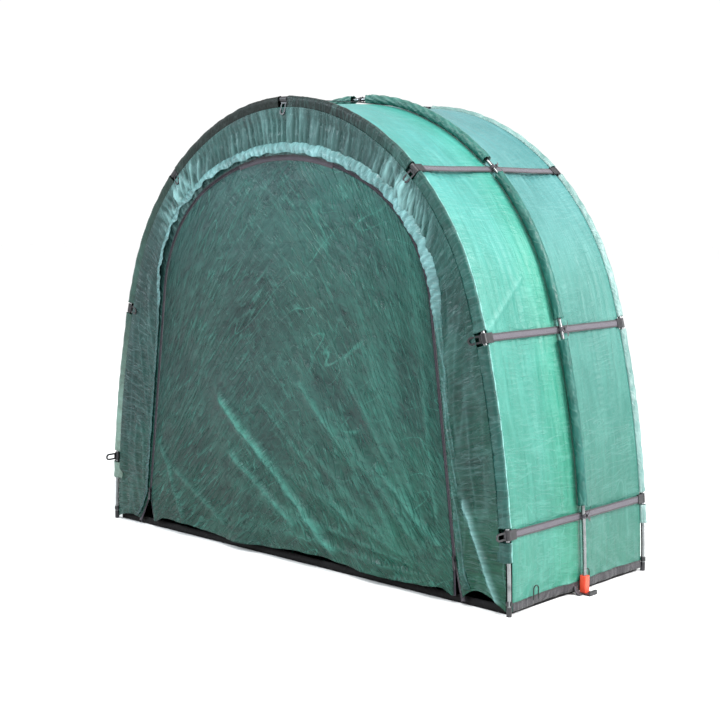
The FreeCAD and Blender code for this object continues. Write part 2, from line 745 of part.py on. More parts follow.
# ---- the nodes ----
def make_nodes():
    nodes = {}
    hoops = (("front", front_y, 0.0), ("mid", 0.0, mid_hoop_rise), ("rear", rear_y, 0.0))
    for name, y, rise in hoops:
        for index in range(pole_sections):
            nodes[f"{name}_pole_section_{index + 1}"] = pole_section(y, rise, index)
        nodes[f"{name}_shock_cord"] = shock_cord(y, rise)
    ends = [pole_end_cap(y, side) for y in (front_y, rear_y) for side in (-1, 1)]
    nodes["pole_end_caps"] = group(ends)

    foot_end = hoop_half_length - sleeve_end_rise
    for side, word in ((-1, "left"), (1, "right")):
        nodes[f"front_sleeve_{word}"] = sleeve(edge_sleeve_profile(front_y, 1), sleeve_gap, foot_end, side)
        nodes[f"mid_sleeve_{word}"] = sleeve(mid_sleeve_profile(), mid_sleeve_gap, None, side)
        nodes[f"rear_sleeve_{word}"] = sleeve(edge_sleeve_profile(rear_y, -1), sleeve_gap, foot_end, side)

    edge = hoop_pitch - sleeve_flange - seam_gap
    nodes["front_cover_panel"] = cover_panel(-edge, -seam_gap)
    nodes["rear_cover_panel"] = cover_panel(seam_gap, edge)
    opening = door_plate(zip_slit, front_y - fabric, front_y + fabric, 0)
    nodes["front_surround"] = end_wall(front_y).cut(opening)
    nodes["rear_wall"] = end_wall(rear_y)
    face = front_y - half_fabric
    nodes["storm_flap"] = door_strip(flap_inner, flap_outer, face - seam_gap - fabric, face - seam_gap,
                                     ground_clearance)
    nodes["door_panel"] = door_plate(-zip_slit, face, front_y + half_fabric, door_ground_clearance)
    nodes["frame_zip_tape"] = zip_tape(1, ground_clearance)
    nodes["door_zip_tape"] = zip_tape(-1, door_ground_clearance)
    for side, word in ((-1, "left"), (1, "right")):
        nodes[f"zip_slider_{word}"] = on_leg(slider(), side)
        nodes[f"zip_pull_{word}"] = on_leg(pull(), side)

    nodes["groundsheet"] = groundsheet()
    nodes["hem_tape_right"], nodes["hem_tape_left"] = both_sides(side_hem())
    nodes["hem_tape_rear"] = rear_hem()
    nodes["hem_loops"] = group([loop for y in loop_places for loop in both_sides(hem_loop(y))])

    nodes["strap_ridge"] = on_hoop(strap(), 0.0)
    for level, s in zip(("high", "middle", "low"), strap_places):
        nodes[f"strap_{level}_right"] = on_hoop(strap(), s)
        nodes[f"strap_{level}_left"] = on_hoop(strap(), -s)
    nodes["strap_front_hooks"] = group([front_hook(s) for s in all_places])
    nodes["strap_rear_hooks"] = group([rear_hook(s) for s in all_places])
    nodes["mid_pole_ties"] = group([mid_tie(s) for s in all_places])

    nodes["mid_foot_right"], nodes["mid_foot_left"] = both_sides(mid_foot())
    nodes["mid_base_right"], nodes["mid_base_left"] = both_sides(mid_base())
    nodes["mid_foot_tabs"] = group(both_sides(mid_foot_tab()))
    corners = [(x, y) for x in (-1, 1) for y in (-1, 1)]
    nodes["corner_hooks"] = group([corner_hook(x, y) for x, y in corners])
    nodes["corner_tabs"] = group([corner_tab(x, y) for x, y in corners])
    return nodes


os.makedirs("parts", exist_ok=True)
for node_name, node_shape in make_nodes().items():
    node_shape.exportStep(f"parts/{node_name}.step")
    print(f"{node_name}: {len(node_shape.Solids)} solids, valid {node_shape.isValid()}")
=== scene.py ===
import math

import bmesh
import bpy
from mathutils import Matrix, Vector, noise


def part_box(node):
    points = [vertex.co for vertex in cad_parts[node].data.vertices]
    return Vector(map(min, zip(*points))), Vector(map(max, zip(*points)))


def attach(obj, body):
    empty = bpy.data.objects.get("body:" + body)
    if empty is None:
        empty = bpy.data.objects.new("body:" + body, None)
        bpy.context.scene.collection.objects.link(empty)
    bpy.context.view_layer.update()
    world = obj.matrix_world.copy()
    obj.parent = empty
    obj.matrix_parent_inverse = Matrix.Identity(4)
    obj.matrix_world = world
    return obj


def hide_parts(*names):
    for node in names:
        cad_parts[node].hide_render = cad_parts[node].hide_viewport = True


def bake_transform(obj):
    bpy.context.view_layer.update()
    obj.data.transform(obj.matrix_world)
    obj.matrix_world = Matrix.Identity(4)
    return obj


# An arched storage shelter of woven tarp on three pole hoops, held together by webbing straps.
# Row frame, in metres: X across the width, Y along the depth with the door at -Y, Z up.

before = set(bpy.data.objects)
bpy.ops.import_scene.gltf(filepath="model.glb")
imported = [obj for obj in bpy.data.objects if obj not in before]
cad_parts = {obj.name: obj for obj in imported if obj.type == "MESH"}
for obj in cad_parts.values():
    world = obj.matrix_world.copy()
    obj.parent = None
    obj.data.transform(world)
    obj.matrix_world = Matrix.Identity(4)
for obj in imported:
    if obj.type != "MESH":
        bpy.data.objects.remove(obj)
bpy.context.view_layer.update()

# ---- camera ----
camera_place = Vector((3.567, -3.785, 1.285))
camera_turn = 43.32          # to the left of +Y, degrees
camera_tilt = 6.55           # down
camera_roll = 0.08
camera_lens = 70.71          # on a sensor 36 mm wide

camera_data = bpy.data.cameras.new("camera")
camera_data.lens = camera_lens
camera_data.sensor_width = 36
camera = bpy.data.objects.new("camera", camera_data)
bpy.context.scene.collection.objects.link(camera)
turn = Matrix.Rotation(math.radians(camera_turn), 4, "Z")
tilt = Matrix.Rotation(math.radians(90 - camera_tilt), 4, "X")
roll = Matrix.Rotation(math.radians(camera_roll), 4, "Z")
camera.matrix_world = Matrix.Translation(camera_place) @ turn @ tilt @ roll
bpy.context.scene.camera = camera

# ---- sizes from the frame ----
ridge_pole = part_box("front_pole_section_3")
pole_radius = (ridge_pole[1].y - ridge_pole[0].y) / 2
front_y = (ridge_pole[1].y + ridge_pole[0].y) / 2
rear_y = -front_y
hoop_height = ridge_pole[1].z - pole_radius
hoop_half_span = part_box("front_pole_section_5")[1].x - pole_radius
mid_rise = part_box("mid_pole_section_3")[1].z - ridge_pole[1].z
ground_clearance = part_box("hem_tape_rear")[0].z
hem_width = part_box("hem_tape_rear")[1].z - ground_clearance
cover_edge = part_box("rear_cover_panel")[1].y
tray_half_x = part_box("groundsheet")[1].x
tray_half_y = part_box("groundsheet")[1].y
tray_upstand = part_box("groundsheet")[1].z

# ---- sizes shared with the frame's design ----
crown_radius = 0.820
crown_angle = math.radians(22)
shoulder_angle = math.radians(73.3)
strap_shares = (0.353, 0.674, 1.0)
lowest_strap_rise = 0.255
strap_width = 0.025
strap_end_height = 0.006
strap_mid_height = 0.009
strap_end_inset = 0.016
sleeve_gap = 0.044
mid_sleeve_gap = 0.070
sleeve_seam_depth = 0.0524
sleeve_end_rise = 0.170
pole_side_gap = 0.012
door_crown_radius = 0.850
door_crown_angle = math.radians(28)
door_leg_lean = math.radians(7.5)
zip_slit = 0.002
zip_stop_half_width = 0.230
zip_open_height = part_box("zip_slider_left")[0].z
left_parting = 0.092         # how far the open zip's sides stand apart at the ground
right_parting = 0.024

# ---- sizes of the soft pieces ----
tarp_thickness = 0.0008
webbing_thickness = 0.0014
tie_thickness = 0.0011
tab_thickness = 0.0018
zip_reveal = 0.0065          # from the zip's middle line to either tarp edge
mid_sleeve_radius = 0.0155


# ---- outlines: the hoop and the door ----
def solve_hoop():
    """Radii of the shoulder and leg arcs that reach the hoop's span and height."""
    span_left = hoop_half_span - crown_radius * math.sin(crown_angle)
    drop_left = hoop_height - crown_radius * (1 - math.cos(crown_angle))
    m11 = math.sin(shoulder_angle) - math.sin(crown_angle)
    m12 = 1 - math.sin(shoulder_angle)
    m21 = math.cos(crown_angle) - math.cos(shoulder_angle)
    m22 = math.cos(shoulder_angle)
    det = m11 * m22 - m12 * m21
    return (span_left * m22 - m12 * drop_left) / det, (m11 * drop_left - m21 * span_left) / det


shoulder_radius, leg_radius = solve_hoop()


def arc_chain(top, stages):
    """Arcs one after another from the ridge to the right: (centre, radius, start angle, end angle)."""
    arcs = []
    centre = Vector((0, top - stages[0][0]))
    last = stages[0][0]
    start = 0.0
    for radius, end in stages:
        centre = centre + Vector((math.sin(start), math.cos(start))) * (last - radius)
        arcs.append((centre, radius, start, end))
        last = radius
        start = end
    return arcs


hoop_arcs = arc_chain(hoop_height, [
    (crown_radius, crown_angle), (shoulder_radius, shoulder_angle), (leg_radius, math.pi / 2)])


def solve_door():
    """Radius of the door's shoulder arcs, from its width at the ground."""
    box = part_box("door_panel")
    lean = math.tan(door_leg_lean)
    top = box[1].z + zip_slit
    foot = box[1].x + zip_slit / math.cos(door_leg_lean) + box[0].z * lean
    leg_angle = math.pi / 2 - door_leg_lean
    crown_end_x = door_crown_radius * math.sin(door_crown_angle)
    crown_end_z = top - door_crown_radius * (1 - math.cos(door_crown_angle))
    width_left = foot - crown_end_x - crown_end_z * lean
    each = math.sin(leg_angle) - math.sin(door_crown_angle)
    each -= (math.cos(door_crown_angle) - math.cos(leg_angle)) * lean
    return top, width_left / each


door_top, door_shoulder_radius = solve_door()
door_arcs = arc_chain(door_top, [
    (door_crown_radius, door_crown_angle), (door_shoulder_radius, math.pi / 2 - door_leg_lean)])


def follow(arcs, distance, out=0.0):
    """Point (x, z) and outward normal on a chain of arcs, which goes on straight past its end."""
    side = 1 if distance >= 0 else -1
    left = abs(distance)
    for centre, radius, start, end in arcs:
        length = radius * (end - start)
        if left <= length or end == arcs[-1][3]:
            break
        left -= length
    angle = min(start + left / radius, end)
    past = max(0.0, left - length)
    normal = Vector((math.sin(angle), math.cos(angle)))
    along = Vector((math.cos(angle), -math.sin(angle)))
    point = centre + normal * (radius + out) + along * past
    return Vector((side * point.x, point.y)), Vector((side * normal.x, normal.y))


def zip_point(d, out):
    """A point beside the zip's line; below the sliders the zip is open and its two sides part."""
    point = follow(door_arcs, d, out)[0]
    side = 1 if d > 0 else -1
    parted = (left_parting if side < 0 else right_parting) * clamp(1 - point.y / zip_open_height) ** 1.25
    point.x += side * parted * (0.55 if out > 0 else -0.45)
    return point


def chain_length(arcs):
    return sum(radius * (end - start) for _, radius, start, end in arcs)


hoop_length = chain_length(hoop_arcs)
door_arc_length = chain_length(door_arcs)
door_leg_top = follow(door_arcs, door_arc_length)[0].y
door_length = door_arc_length + door_leg_top / math.cos(door_leg_lean)
lowest_strap = hoop_length - lowest_strap_rise
strap_places = [share * lowest_strap for share in strap_shares]
all_stations = [0.0] + [side * s for s in strap_places for side in (-1, 1)]


def on_hoop(s, out, y):
    point = follow(hoop_arcs, s, out)[0]
    return Vector((point.x, y, point.y))


def hoop_axes(s):
    """Place, tangent away from the left foot, and outward normal of the hoop's line."""
    point, normal = follow(hoop_arcs, s)
    outward = Vector((normal.x, 0, normal.y))
    tangent = Vector((normal.y, 0, -normal.x))
    return Vector((point.x, 0, point.y)), tangent, outward


# ---- small tools ----
def clamp(value, low=0.0, high=1.0):
    return max(low, min(high, value))


def ease(value):
    value = clamp(value)
    return value * value * (3 - 2 * value)


def waver(a, b, seed):
    """Smooth wandering value from about -1 to 1."""
    return noise.noise(Vector((a, b, seed)))


def crumple(a, b, seed):
    """Sharp ridges with soft valleys, as in tarp that has been folded small."""
    coarse = 1 - 3 * abs(waver(a, b, seed))
    fine = 1 - 3 * abs(waver(2.3 * a + 5, 2.3 * b, seed + 7))
    return 0.62 * coarse + 0.38 * fine


def gather(phase):
    """One sharp fold per unit of phase."""
    return abs(math.sin(math.pi * phase)) ** 0.8


def crease(point, start, end, width):
    """1 on the line from start to end and falling to 0 at its width, and past its ends."""
    line = end - start
    share = (point - start).dot(line) / line.length_squared
    away = (point - start - line * clamp(share)).length
    return max(0.0, 1 - away / width) ** 1.6


def grid(shape, columns, rows, size, place, seam=False):
    """Adds a sheet of columns by rows to a bmesh, with its points at place(u, v) and its map in metres.

    Where place gives a point and a number, the number is kept as the sheet's crest: 1 on a sharp fold, where
    the tarp materials paint a pale highlight."""
    uv = shape.loops.layers.uv.get("cloth") or shape.loops.layers.uv.new("cloth")
    crest = shape.verts.layers.float.get("crest") or shape.verts.layers.float.new("crest")
    made = bmesh.ops.create_grid(shape, x_segments=columns, y_segments=rows, size=0.5)
    corners = {vertex: (vertex.co.x + 0.5, vertex.co.y + 0.5) for vertex in made["verts"]}
    faces = {face for vertex in made["verts"] for face in vertex.link_faces}
    for face in faces:
        for loop in face.loops:
            u, v = corners[loop.vert]
            loop[uv].uv = (u * size[0], v * size[1])
    for vertex, (u, v) in corners.items():
        spot = place(u, v)
        if isinstance(spot, tuple):
            spot, vertex[crest] = spot
        vertex.co = spot
    if seam:
        bmesh.ops.remove_doubles(shape, verts=made["verts"], dist=0.00002)


def finished(name, shape, thickness=0.0):
    """Turns a bmesh into a smooth shaded object, with a wall if it has a thickness."""
    mesh = bpy.data.meshes.new(name)
    shape.to_mesh(mesh)
    shape.free()
    piece = bpy.data.objects.new(name, mesh)
    bpy.context.scene.collection.objects.link(piece)
    for polygon in mesh.polygons:
        polygon.use_smooth = True
    if thickness:
        wall = piece.modifiers.new("wall", "SOLIDIFY")
        wall.thickness = thickness
        wall.offset = 0
    return piece


def settle(piece):
    """Applies a piece's modifiers, so that its mesh is final."""
    bpy.context.view_layer.update()
    shaped = piece.evaluated_get(bpy.context.evaluated_depsgraph_get())
    mesh = bpy.data.meshes.new_from_object(shaped)
    piece.modifiers.clear()
    piece.data = mesh
    return piece


def dress(piece, material, slot, body, *nodes):
    piece.data.materials.clear()
    piece.data.materials.append(material)
    if body:
        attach(piece, body)
    if nodes:
        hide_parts(*nodes)
    return piece


# ---- materials ----
def add(tree, kind, inputs=None, **settings):
    """A node with its settings, and its inputs linked to sockets or set to values."""
    node = tree.nodes.new(kind)
    for key, value in settings.items():
        setattr(node, key, value)
    for key, value in (inputs or {}).items():
        if isinstance(value, bpy.types.NodeSocket):
            tree.links.new(value, node.inputs[key])
        else:
            node.inputs[key].default_value = value
    return node


def blank(name):
    material = bpy.data.materials.new(name)
    material.use_nodes = True
    tree = material.node_tree
    tree.nodes.clear()
    return material, tree


def math_node(tree, operation, a, b=0.0):
    return add(tree, "ShaderNodeMath", {0: a, 1: b}, operation=operation).outputs[0]


def spread(tree, value, low, high, to_low=0.0, to_high=1.0):
    inputs = {"Value": value, "From Min": low, "From Max": high, "To Min": to_low, "To Max": to_high}
    return add(tree, "ShaderNodeMapRange", inputs).outputs[0]


def tint(tree, factor, first, second, blend="MIX"):
    node = add(tree, "ShaderNodeMix", {0: factor, 6: first, 7: second}, data_type="RGBA", blend_type=blend)
    return node.outputs[2]


def stretch(tree, vector, scale, turned=0.0):
    """Coordinates turned first and then scaled, so that what is drawn on them runs at that angle."""
    inputs = {"Vector": vector, "Rotation": (0, 0, turned), "Scale": (1 / scale[0], 1 / scale[1], 1)}
    return add(tree, "ShaderNodeMapping", inputs, vector_type="TEXTURE").outputs[0]


def cloud(tree, vector, scale, detail=3.0, roughness=0.55, distortion=0.0):
    inputs = {"Vector": vector, "Scale": scale, "Detail": detail, "Roughness": roughness,
              "Distortion": distortion}
    return add(tree, "ShaderNodeTexNoise", inputs).outputs[0]


def bump(tree, height, distance, under=None, strength=1.0):
    inputs = {"Height": height, "Distance": distance, "Strength": strength}
    if under is not None:
        inputs["Normal"] = under
    return add(tree, "ShaderNodeBump", inputs).outputs[0]


def output(tree, shader):
    add(tree, "ShaderNodeOutputMaterial", {"Surface": shader})


def waves(tree, coordinate, pitch):
    """Rounded ribs from 0 to 1, one for each pitch."""
    angle = math_node(tree, "MULTIPLY", coordinate, 2 * math.pi / pitch)
    sine = math_node(tree, "SINE", angle)
    return spread(tree, sine, -1, 1)


def ripples(tree, vector, scale, turned):
    """Thin crests of small ripples: 1 on the crest and 0 between them."""
    field = cloud(tree, stretch(tree, vector, scale, turned), 1.0, 1.0, 0.4, 0.12)
    aside = math_node(tree, "ABSOLUTE", math_node(tree, "SUBTRACT", field, 0.5))
    return spread(tree, aside, 0.0, 0.060, 1.0, 0.0)


def tarp(name, deep, bright, pale, glow, gloss, along=(5.0, 60.0), ripple=((12.0, 46.0), 0.9, -0.75),
         ripple_tint=0.16, ripple_height=0.0012, painted_shading=(), shine=0.5, tape=0.0024):
    """Woven coated tarp: flat tapes, ripples with painted glints on their crests, pale painted highlights on
    the crests of its folds, and light through it.

    Each painted shading entry is an axis, the place where it starts, where it is full, and the colour to
    multiply by; it paints light or shade for how light falls on the piece."""
    material, tree = blank(name)
    uv = add(tree, "ShaderNodeUVMap", uv_map="cloth").outputs[0]
    parts = add(tree, "ShaderNodeSeparateXYZ", {"Vector": uv})
    place = add(tree, "ShaderNodeSeparateXYZ", {"Vector": add(tree, "ShaderNodeTexCoord").outputs["Object"]})
    fold = add(tree, "ShaderNodeAttribute", attribute_name="crest").outputs["Fac"]
    warp = waves(tree, parts.outputs[0], tape)
    weft = waves(tree, parts.outputs[1], tape)
    weave = math_node(tree, "MULTIPLY", warp, weft)
    patches = cloud(tree, uv, 4.0, 4.0, 0.6)
    crinkle = cloud(tree, stretch(tree, uv, along), 1.0, 6.0, 0.62, 0.6)
    dents = cloud(tree, uv, 42.0, 4.0, 0.6, 0.8)
    broken = spread(tree, cloud(tree, uv, 6.0, 2.0), 0.36, 0.60)
    scale, left_turn, right_turn = ripple
    uneven = math_node(tree, "ADD", place.outputs[0], math_node(tree, "MULTIPLY", patches, 0.8))
    to_right = spread(tree, uneven, -0.05, 0.55)
    lines = add(tree, "ShaderNodeMix", {0: to_right, 2: ripples(tree, uv, scale, left_turn),
                                        3: ripples(tree, uv, scale, right_turn)}).outputs[0]
    lines = math_node(tree, "MULTIPLY", lines, spread(tree, broken, 0.0, 1.0, 0.35, 1.0))
    long_line = ripples(tree, uv, (1.6, 9.0), left_turn)
    long_line = math_node(tree, "MULTIPLY", spread(tree, long_line, 0.90, 1.0), broken)
    tone = math_node(tree, "ADD", math_node(tree, "MULTIPLY", patches, 0.7),
                     math_node(tree, "MULTIPLY", crinkle, 0.5))
    colour = tint(tree, spread(tree, tone, 0.42, 0.76), deep, bright)
    # painted light and shade: the colour multiplied up or down along an axis of the piece
    for axis, start, full, shade in painted_shading:
        share = spread(tree, place.outputs["XYZ".index(axis)], start, full)
        colour = tint(tree, share, colour, shade, "MULTIPLY")
    # painted glints: pale colour on the crests of the ripples and of the long lines
    marks = math_node(tree, "MULTIPLY", lines, ripple_tint)
    marks = math_node(tree, "MAXIMUM", marks, math_node(tree, "MULTIPLY", long_line, ripple_tint * 1.6))
    # painted highlight: pale colour on the sheet's crest, the tops of its folds
    wear_and_painted_highlight = math_node(tree, "MULTIPLY", fold, spread(tree, crinkle, 0.30, 0.65, 0.45, 1.0))
    marks = math_node(tree, "MAXIMUM", marks, wear_and_painted_highlight)
    colour = tint(tree, marks, colour, pale)
    colour = tint(tree, spread(tree, weave, 0.0, 1.0, 0.12, 0.0), colour, deep)
    rough = spread(tree, crinkle, 0.3, 0.7, gloss - 0.08, gloss + 0.12)
    normal = bump(tree, crinkle, 0.0035)
    normal = bump(tree, dents, 0.0016, normal)
    normal = bump(tree, lines, ripple_height, normal)
    normal = bump(tree, weave, 0.00012, normal)
    face = add(tree, "ShaderNodeBsdfPrincipled",
               {"Base Color": colour, "Roughness": rough, "Normal": normal, "Specular IOR Level": shine})
    shone = tint(tree, 0.6, colour, bright)
    through = add(tree, "ShaderNodeBsdfTranslucent", {"Color": shone, "Normal": normal})
    mixed = add(tree, "ShaderNodeMixShader", {0: glow, 1: face.outputs[0], 2: through.outputs[0]})
    output(tree, mixed.outputs[0])
    return material


def webbing(name, dark, light, width, rough=0.55):
    """Woven tape: ribs across it, and a paler middle, painted as the highlight along its bow, with dark
    selvedges.
    """
    material, tree = blank(name)
    uv = add(tree, "ShaderNodeUVMap", uv_map="cloth").outputs[0]
    parts = add(tree, "ShaderNodeSeparateXYZ", {"Vector": uv})
    ribs = waves(tree, parts.outputs[0], 0.0016)
    cords = waves(tree, parts.outputs[1], 0.0021)
    weave = math_node(tree, "MULTIPLY", ribs, cords)
    middle = math_node(tree, "SUBTRACT", parts.outputs[1], width / 2)
    aside = math_node(tree, "ABSOLUTE", middle)
    edge = spread(tree, aside, width * 0.24, width * 0.34, 1.0, 0.0)
    wear = cloud(tree, uv, 30.0, 4.0, 0.6)
    # painted highlight: the middle of the tape made paler than its edges
    colour = tint(tree, math_node(tree, "MULTIPLY", edge, 0.85), dark, light)
    colour = tint(tree, spread(tree, wear, 0.4, 0.75, 0.0, 0.35), colour, light)
    normal = bump(tree, weave, 0.0004)
    normal = bump(tree, edge, 0.0005, normal)
    face = add(tree, "ShaderNodeBsdfPrincipled", {
        "Base Color": colour, "Roughness": spread(tree, wear, 0.3, 0.7, rough - 0.1, rough + 0.15),
        "Normal": normal, "Sheen Weight": 0.25, "Sheen Roughness": 0.4})
    output(tree, face.outputs[0])
    return material


def moulded(name, colour, wear_and_painted_highlight, rough, grain=220.0):
    """Moulded plastic with a fine grain, scuffs and paler rubbed patches."""
    material, tree = blank(name)
    place = add(tree, "ShaderNodeTexCoord").outputs["Object"]
    scuff = cloud(tree, place, 45.0, 5.0, 0.65)
    fine = cloud(tree, place, grain * 4, 2.0)
    rubbed = spread(tree, scuff, 0.52, 0.75, 0.0, 0.7)
    shade = tint(tree, rubbed, colour, wear_and_painted_highlight)
    normal = bump(tree, fine, 0.0002)
    normal = bump(tree, scuff, 0.0006, normal)
    face = add(tree, "ShaderNodeBsdfPrincipled", {
        "Base Color": shade, "Roughness": spread(tree, scuff, 0.3, 0.7, rough - 0.1, rough + 0.15),
        "Normal": normal})
    output(tree, face.outputs[0])
    return material


def plated(name, colour, spot, rough, metallic=1.0):
    """Plated tube: drawn streaks, dull spots and a little tarnish."""
    material, tree = blank(name)
    place = add(tree, "ShaderNodeTexCoord").outputs["Object"]
    cloudy = cloud(tree, place, 26.0, 5.0, 0.6)
    drawn = cloud(tree, place, 500.0, 2.0)
    shade = tint(tree, spread(tree, cloudy, 0.5, 0.72, 0.0, 0.8), colour, spot)
    normal = bump(tree, drawn, 0.00015)
    face = add(tree, "ShaderNodeBsdfPrincipled", {
        "Base Color": shade, "Metallic": metallic,
        "Roughness": spread(tree, cloudy, 0.3, 0.7, rough - 0.08, rough + 0.15), "Normal": normal})
    output(tree, face.outputs[0])
    return material


def braided(name, dark, light, pitch=0.0026):
    """Braided cord: crossing diagonal strands in the object's own coordinates."""
    material, tree = blank(name)
    place = add(tree, "ShaderNodeTexCoord").outputs["Object"]
    parts = add(tree, "ShaderNodeSeparateXYZ", {"Vector": place})
    plus = math_node(tree, "ADD", parts.outputs[1], parts.outputs[2])
    minus = math_node(tree, "SUBTRACT", parts.outputs[1], parts.outputs[2])
    strands = math_node(tree, "MAXIMUM", waves(tree, plus, pitch), waves(tree, minus, pitch))
    fuzz = cloud(tree, place, 700.0, 3.0)
    colour = tint(tree, spread(tree, math_node(tree, "MULTIPLY", strands, fuzz), 0.3, 0.7), dark, light)
    face = add(tree, "ShaderNodeBsdfPrincipled", {
        "Base Color": colour, "Roughness": spread(tree, fuzz, 0.3, 0.7, 0.6, 0.85),
        "Normal": bump(tree, strands, 0.0006)})
    output(tree, face.outputs[0])
    return material


# The green tarp materials below are copies of one fabric, painted lighter or darker for how light falls on
# each face: lighter on the side walls and rear sleeves, darker on the door, surround, flap and front sleeves.
side_tarp = tarp(
    "side_tarp", (0.040, 0.235, 0.188, 1), (0.078, 0.350, 0.298, 1), (0.30, 0.64, 0.58, 1), 0.22, 0.38,
    ripple=((60.0, 9.0), 0.12, -0.10), ripple_tint=0.14, ripple_height=0.0010,
    # painted light and shade: darker towards the ground, bluer near the ridge as a painted sheen, and darker
    # beside the middle hoop as a painted shade
    painted_shading=(("Z", 1.25, 0.10, (0.58, 0.73, 0.64, 1)), ("Z", 1.05, 1.60, (1.05, 0.98, 1.14, 1)),
            ("Y", -0.17, -0.01, (0.66, 1.0, 0.84, 1))))
# painted light and shade: darker towards the ground and a paler purple-grey painted sheen near the ridge
rear_side_tarp = tarp(
    "rear_side_tarp", (0.044, 0.196, 0.172, 1), (0.082, 0.286, 0.256, 1), (0.30, 0.56, 0.53, 1), 0.22, 0.40,
    ripple=((60.0, 9.0), 0.12, -0.10), ripple_tint=0.12, ripple_height=0.0008,
    painted_shading=(("Z", 1.25, 0.10, (0.42, 0.62, 0.50, 1)), ("Z", 1.00, 1.60, (1.20, 1.00, 1.20, 1))))
rear_wall_tarp = tarp(
    "rear_wall_tarp", (0.034, 0.180, 0.145, 1), (0.070, 0.285, 0.235, 1), (0.26, 0.58, 0.50, 1), 0.22, 0.36,
    along=(30.0, 7.0), ripple=((10.0, 48.0), 0.9, -0.8))
# painted light and shade: brighter and more teal towards the right, darker towards the hem and brighter
# towards the top
door_tarp = tarp(
    "door_tarp", (0.005, 0.019, 0.020, 1), (0.021, 0.074, 0.064, 1), (0.10, 0.42, 0.34, 1), 0.20, 0.30,
    along=(22.0, 46.0), ripple=((8.0, 52.0), 0.80, -0.95), ripple_tint=0.30, ripple_height=0.0046, shine=0.36,
    painted_shading=(("X", -0.25, 0.55, (0.62, 1.36, 1.20, 1)), ("Z", 0.60, 0.10, (0.50, 0.92, 0.74, 1)),
            ("Z", 0.90, 1.35, (1.75, 1.50, 1.65, 1))))
# painted light and shade: greener and darker down the legs and near the ground, darker purple-grey on the
# left leg and less pale on the right, so that the crown stays paler as a painted sheen
surround_tarp = tarp(
    "surround_tarp", (0.009, 0.028, 0.028, 1), (0.024, 0.088, 0.080, 1), (0.34, 0.66, 0.66, 1), 0.20, 0.24,
    along=(46.0, 5.0), ripple=((52.0, 8.0), 0.10, -0.10), ripple_tint=0.10, ripple_height=0.0018, shine=0.32,
    painted_shading=(("Z", 1.15, 0.60, (0.16, 0.86, 0.70, 1)), ("X", -0.60, -0.88, (1.60, 0.66, 0.76, 1)),
            ("X", 0.40, 0.66, (0.42, 0.94, 0.86, 1)), ("Z", 0.45, 0.15, (0.70, 1.20, 0.90, 1))))
# painted light and shade: greener and darker down the legs, darker purple-grey on the left leg and less pale
# on the right
flap_tarp = tarp(
    "flap_tarp", (0.010, 0.034, 0.034, 1), (0.026, 0.095, 0.088, 1), (0.30, 0.62, 0.64, 1), 0.15, 0.22,
    along=(60.0, 12.0), ripple=((60.0, 16.0), 0.2, -0.2), ripple_tint=0.14, ripple_height=0.0016, shine=0.40,
    painted_shading=(("Z", 1.05, 0.55, (0.45, 0.95, 0.82, 1)), ("X", -0.60, -0.88, (1.40, 0.62, 0.76, 1)),
            ("X", 0.40, 0.62, (0.50, 1.00, 0.90, 1))))
# painted shade: much darker towards the crown
sleeve_tarp = tarp(
    "sleeve_tarp", (0.005, 0.036, 0.030, 1), (0.016, 0.098, 0.084, 1), (0.30, 0.66, 0.62, 1), 0.12, 0.34,
    along=(46.0, 6.0), ripple=((48.0, 9.0), 0.12, -0.12), ripple_tint=0.10, ripple_height=0.0018, shine=0.30,
    painted_shading=(("Z", 1.36, 1.54, (0.40, 0.16, 0.18, 1)),))
# painted light and shade: a near-black copy of the sleeve tarp, many times lighter low on the left leg as
# painted light shining through, and near black on the shoulder as painted shade
left_sleeve_tarp = tarp(
    "left_sleeve_tarp", (0.004, 0.006, 0.005, 1), (0.010, 0.018, 0.016, 1), (0.60, 0.86, 0.80, 1), 0.06, 0.42,
    along=(30.0, 16.0), ripple_tint=0.02, shine=0.18,
    painted_shading=(("X", -0.45, -0.92, (4.6, 6.6, 6.2, 1)), ("Z", 0.85, 0.30, (5.4, 3.3, 3.4, 1))))
mid_sleeve_tarp = tarp(
    "mid_sleeve_tarp", (0.008, 0.064, 0.052, 1), (0.020, 0.150, 0.124, 1), (0.50, 0.80, 0.72, 1), 0.12, 0.30,
    along=(12.0, 30.0), ripple=((12.0, 34.0), 0.7, 0.7), ripple_tint=0.07, shine=0.32)
# painted light: a paler copy of the sleeve tarp, as lit, with strong pale glints on its ripples
rear_sleeve_tarp = tarp(
    "rear_sleeve_tarp", (0.10, 0.225, 0.205, 1), (0.21, 0.39, 0.365, 1), (0.80, 0.92, 0.92, 1), 0.28, 0.26,
    along=(14.0, 30.0), ripple=((12.0, 40.0), 0.9, 0.9), ripple_tint=0.22)
floor_tarp = tarp(
    "floor_tarp", (0.003, 0.003, 0.004, 1), (0.009, 0.008, 0.008, 1), (0.05, 0.045, 0.04, 1), 0.02, 0.55,
    along=(20.0, 20.0), ripple_tint=0.08, shine=0.12)
strap_webbing = webbing("strap_webbing", (0.008, 0.007, 0.010, 1), (0.082, 0.072, 0.092, 1), strap_width)
hem_webbing = webbing("hem_webbing", (0.007, 0.007, 0.009, 1), (0.020, 0.018, 0.024, 1), hem_width)
tie_webbing = webbing("tie_webbing", (0.007, 0.006, 0.009, 1), (0.050, 0.044, 0.058, 1), 0.012)
zip_cloth = webbing("zip_cloth", (0.010, 0.008, 0.013, 1), (0.040, 0.030, 0.046, 1), 0.015, 0.6)
coil_nylon = moulded("coil_nylon", (0.030, 0.024, 0.036, 1), (0.10, 0.085, 0.12, 1), 0.35)
black_plastic = moulded("black_plastic", (0.009, 0.009, 0.011, 1), (0.045, 0.042, 0.052, 1), 0.38)
orange_plastic = moulded("orange_plastic", (0.80, 0.075, 0.035, 1), (0.92, 0.22, 0.14, 1), 0.42)
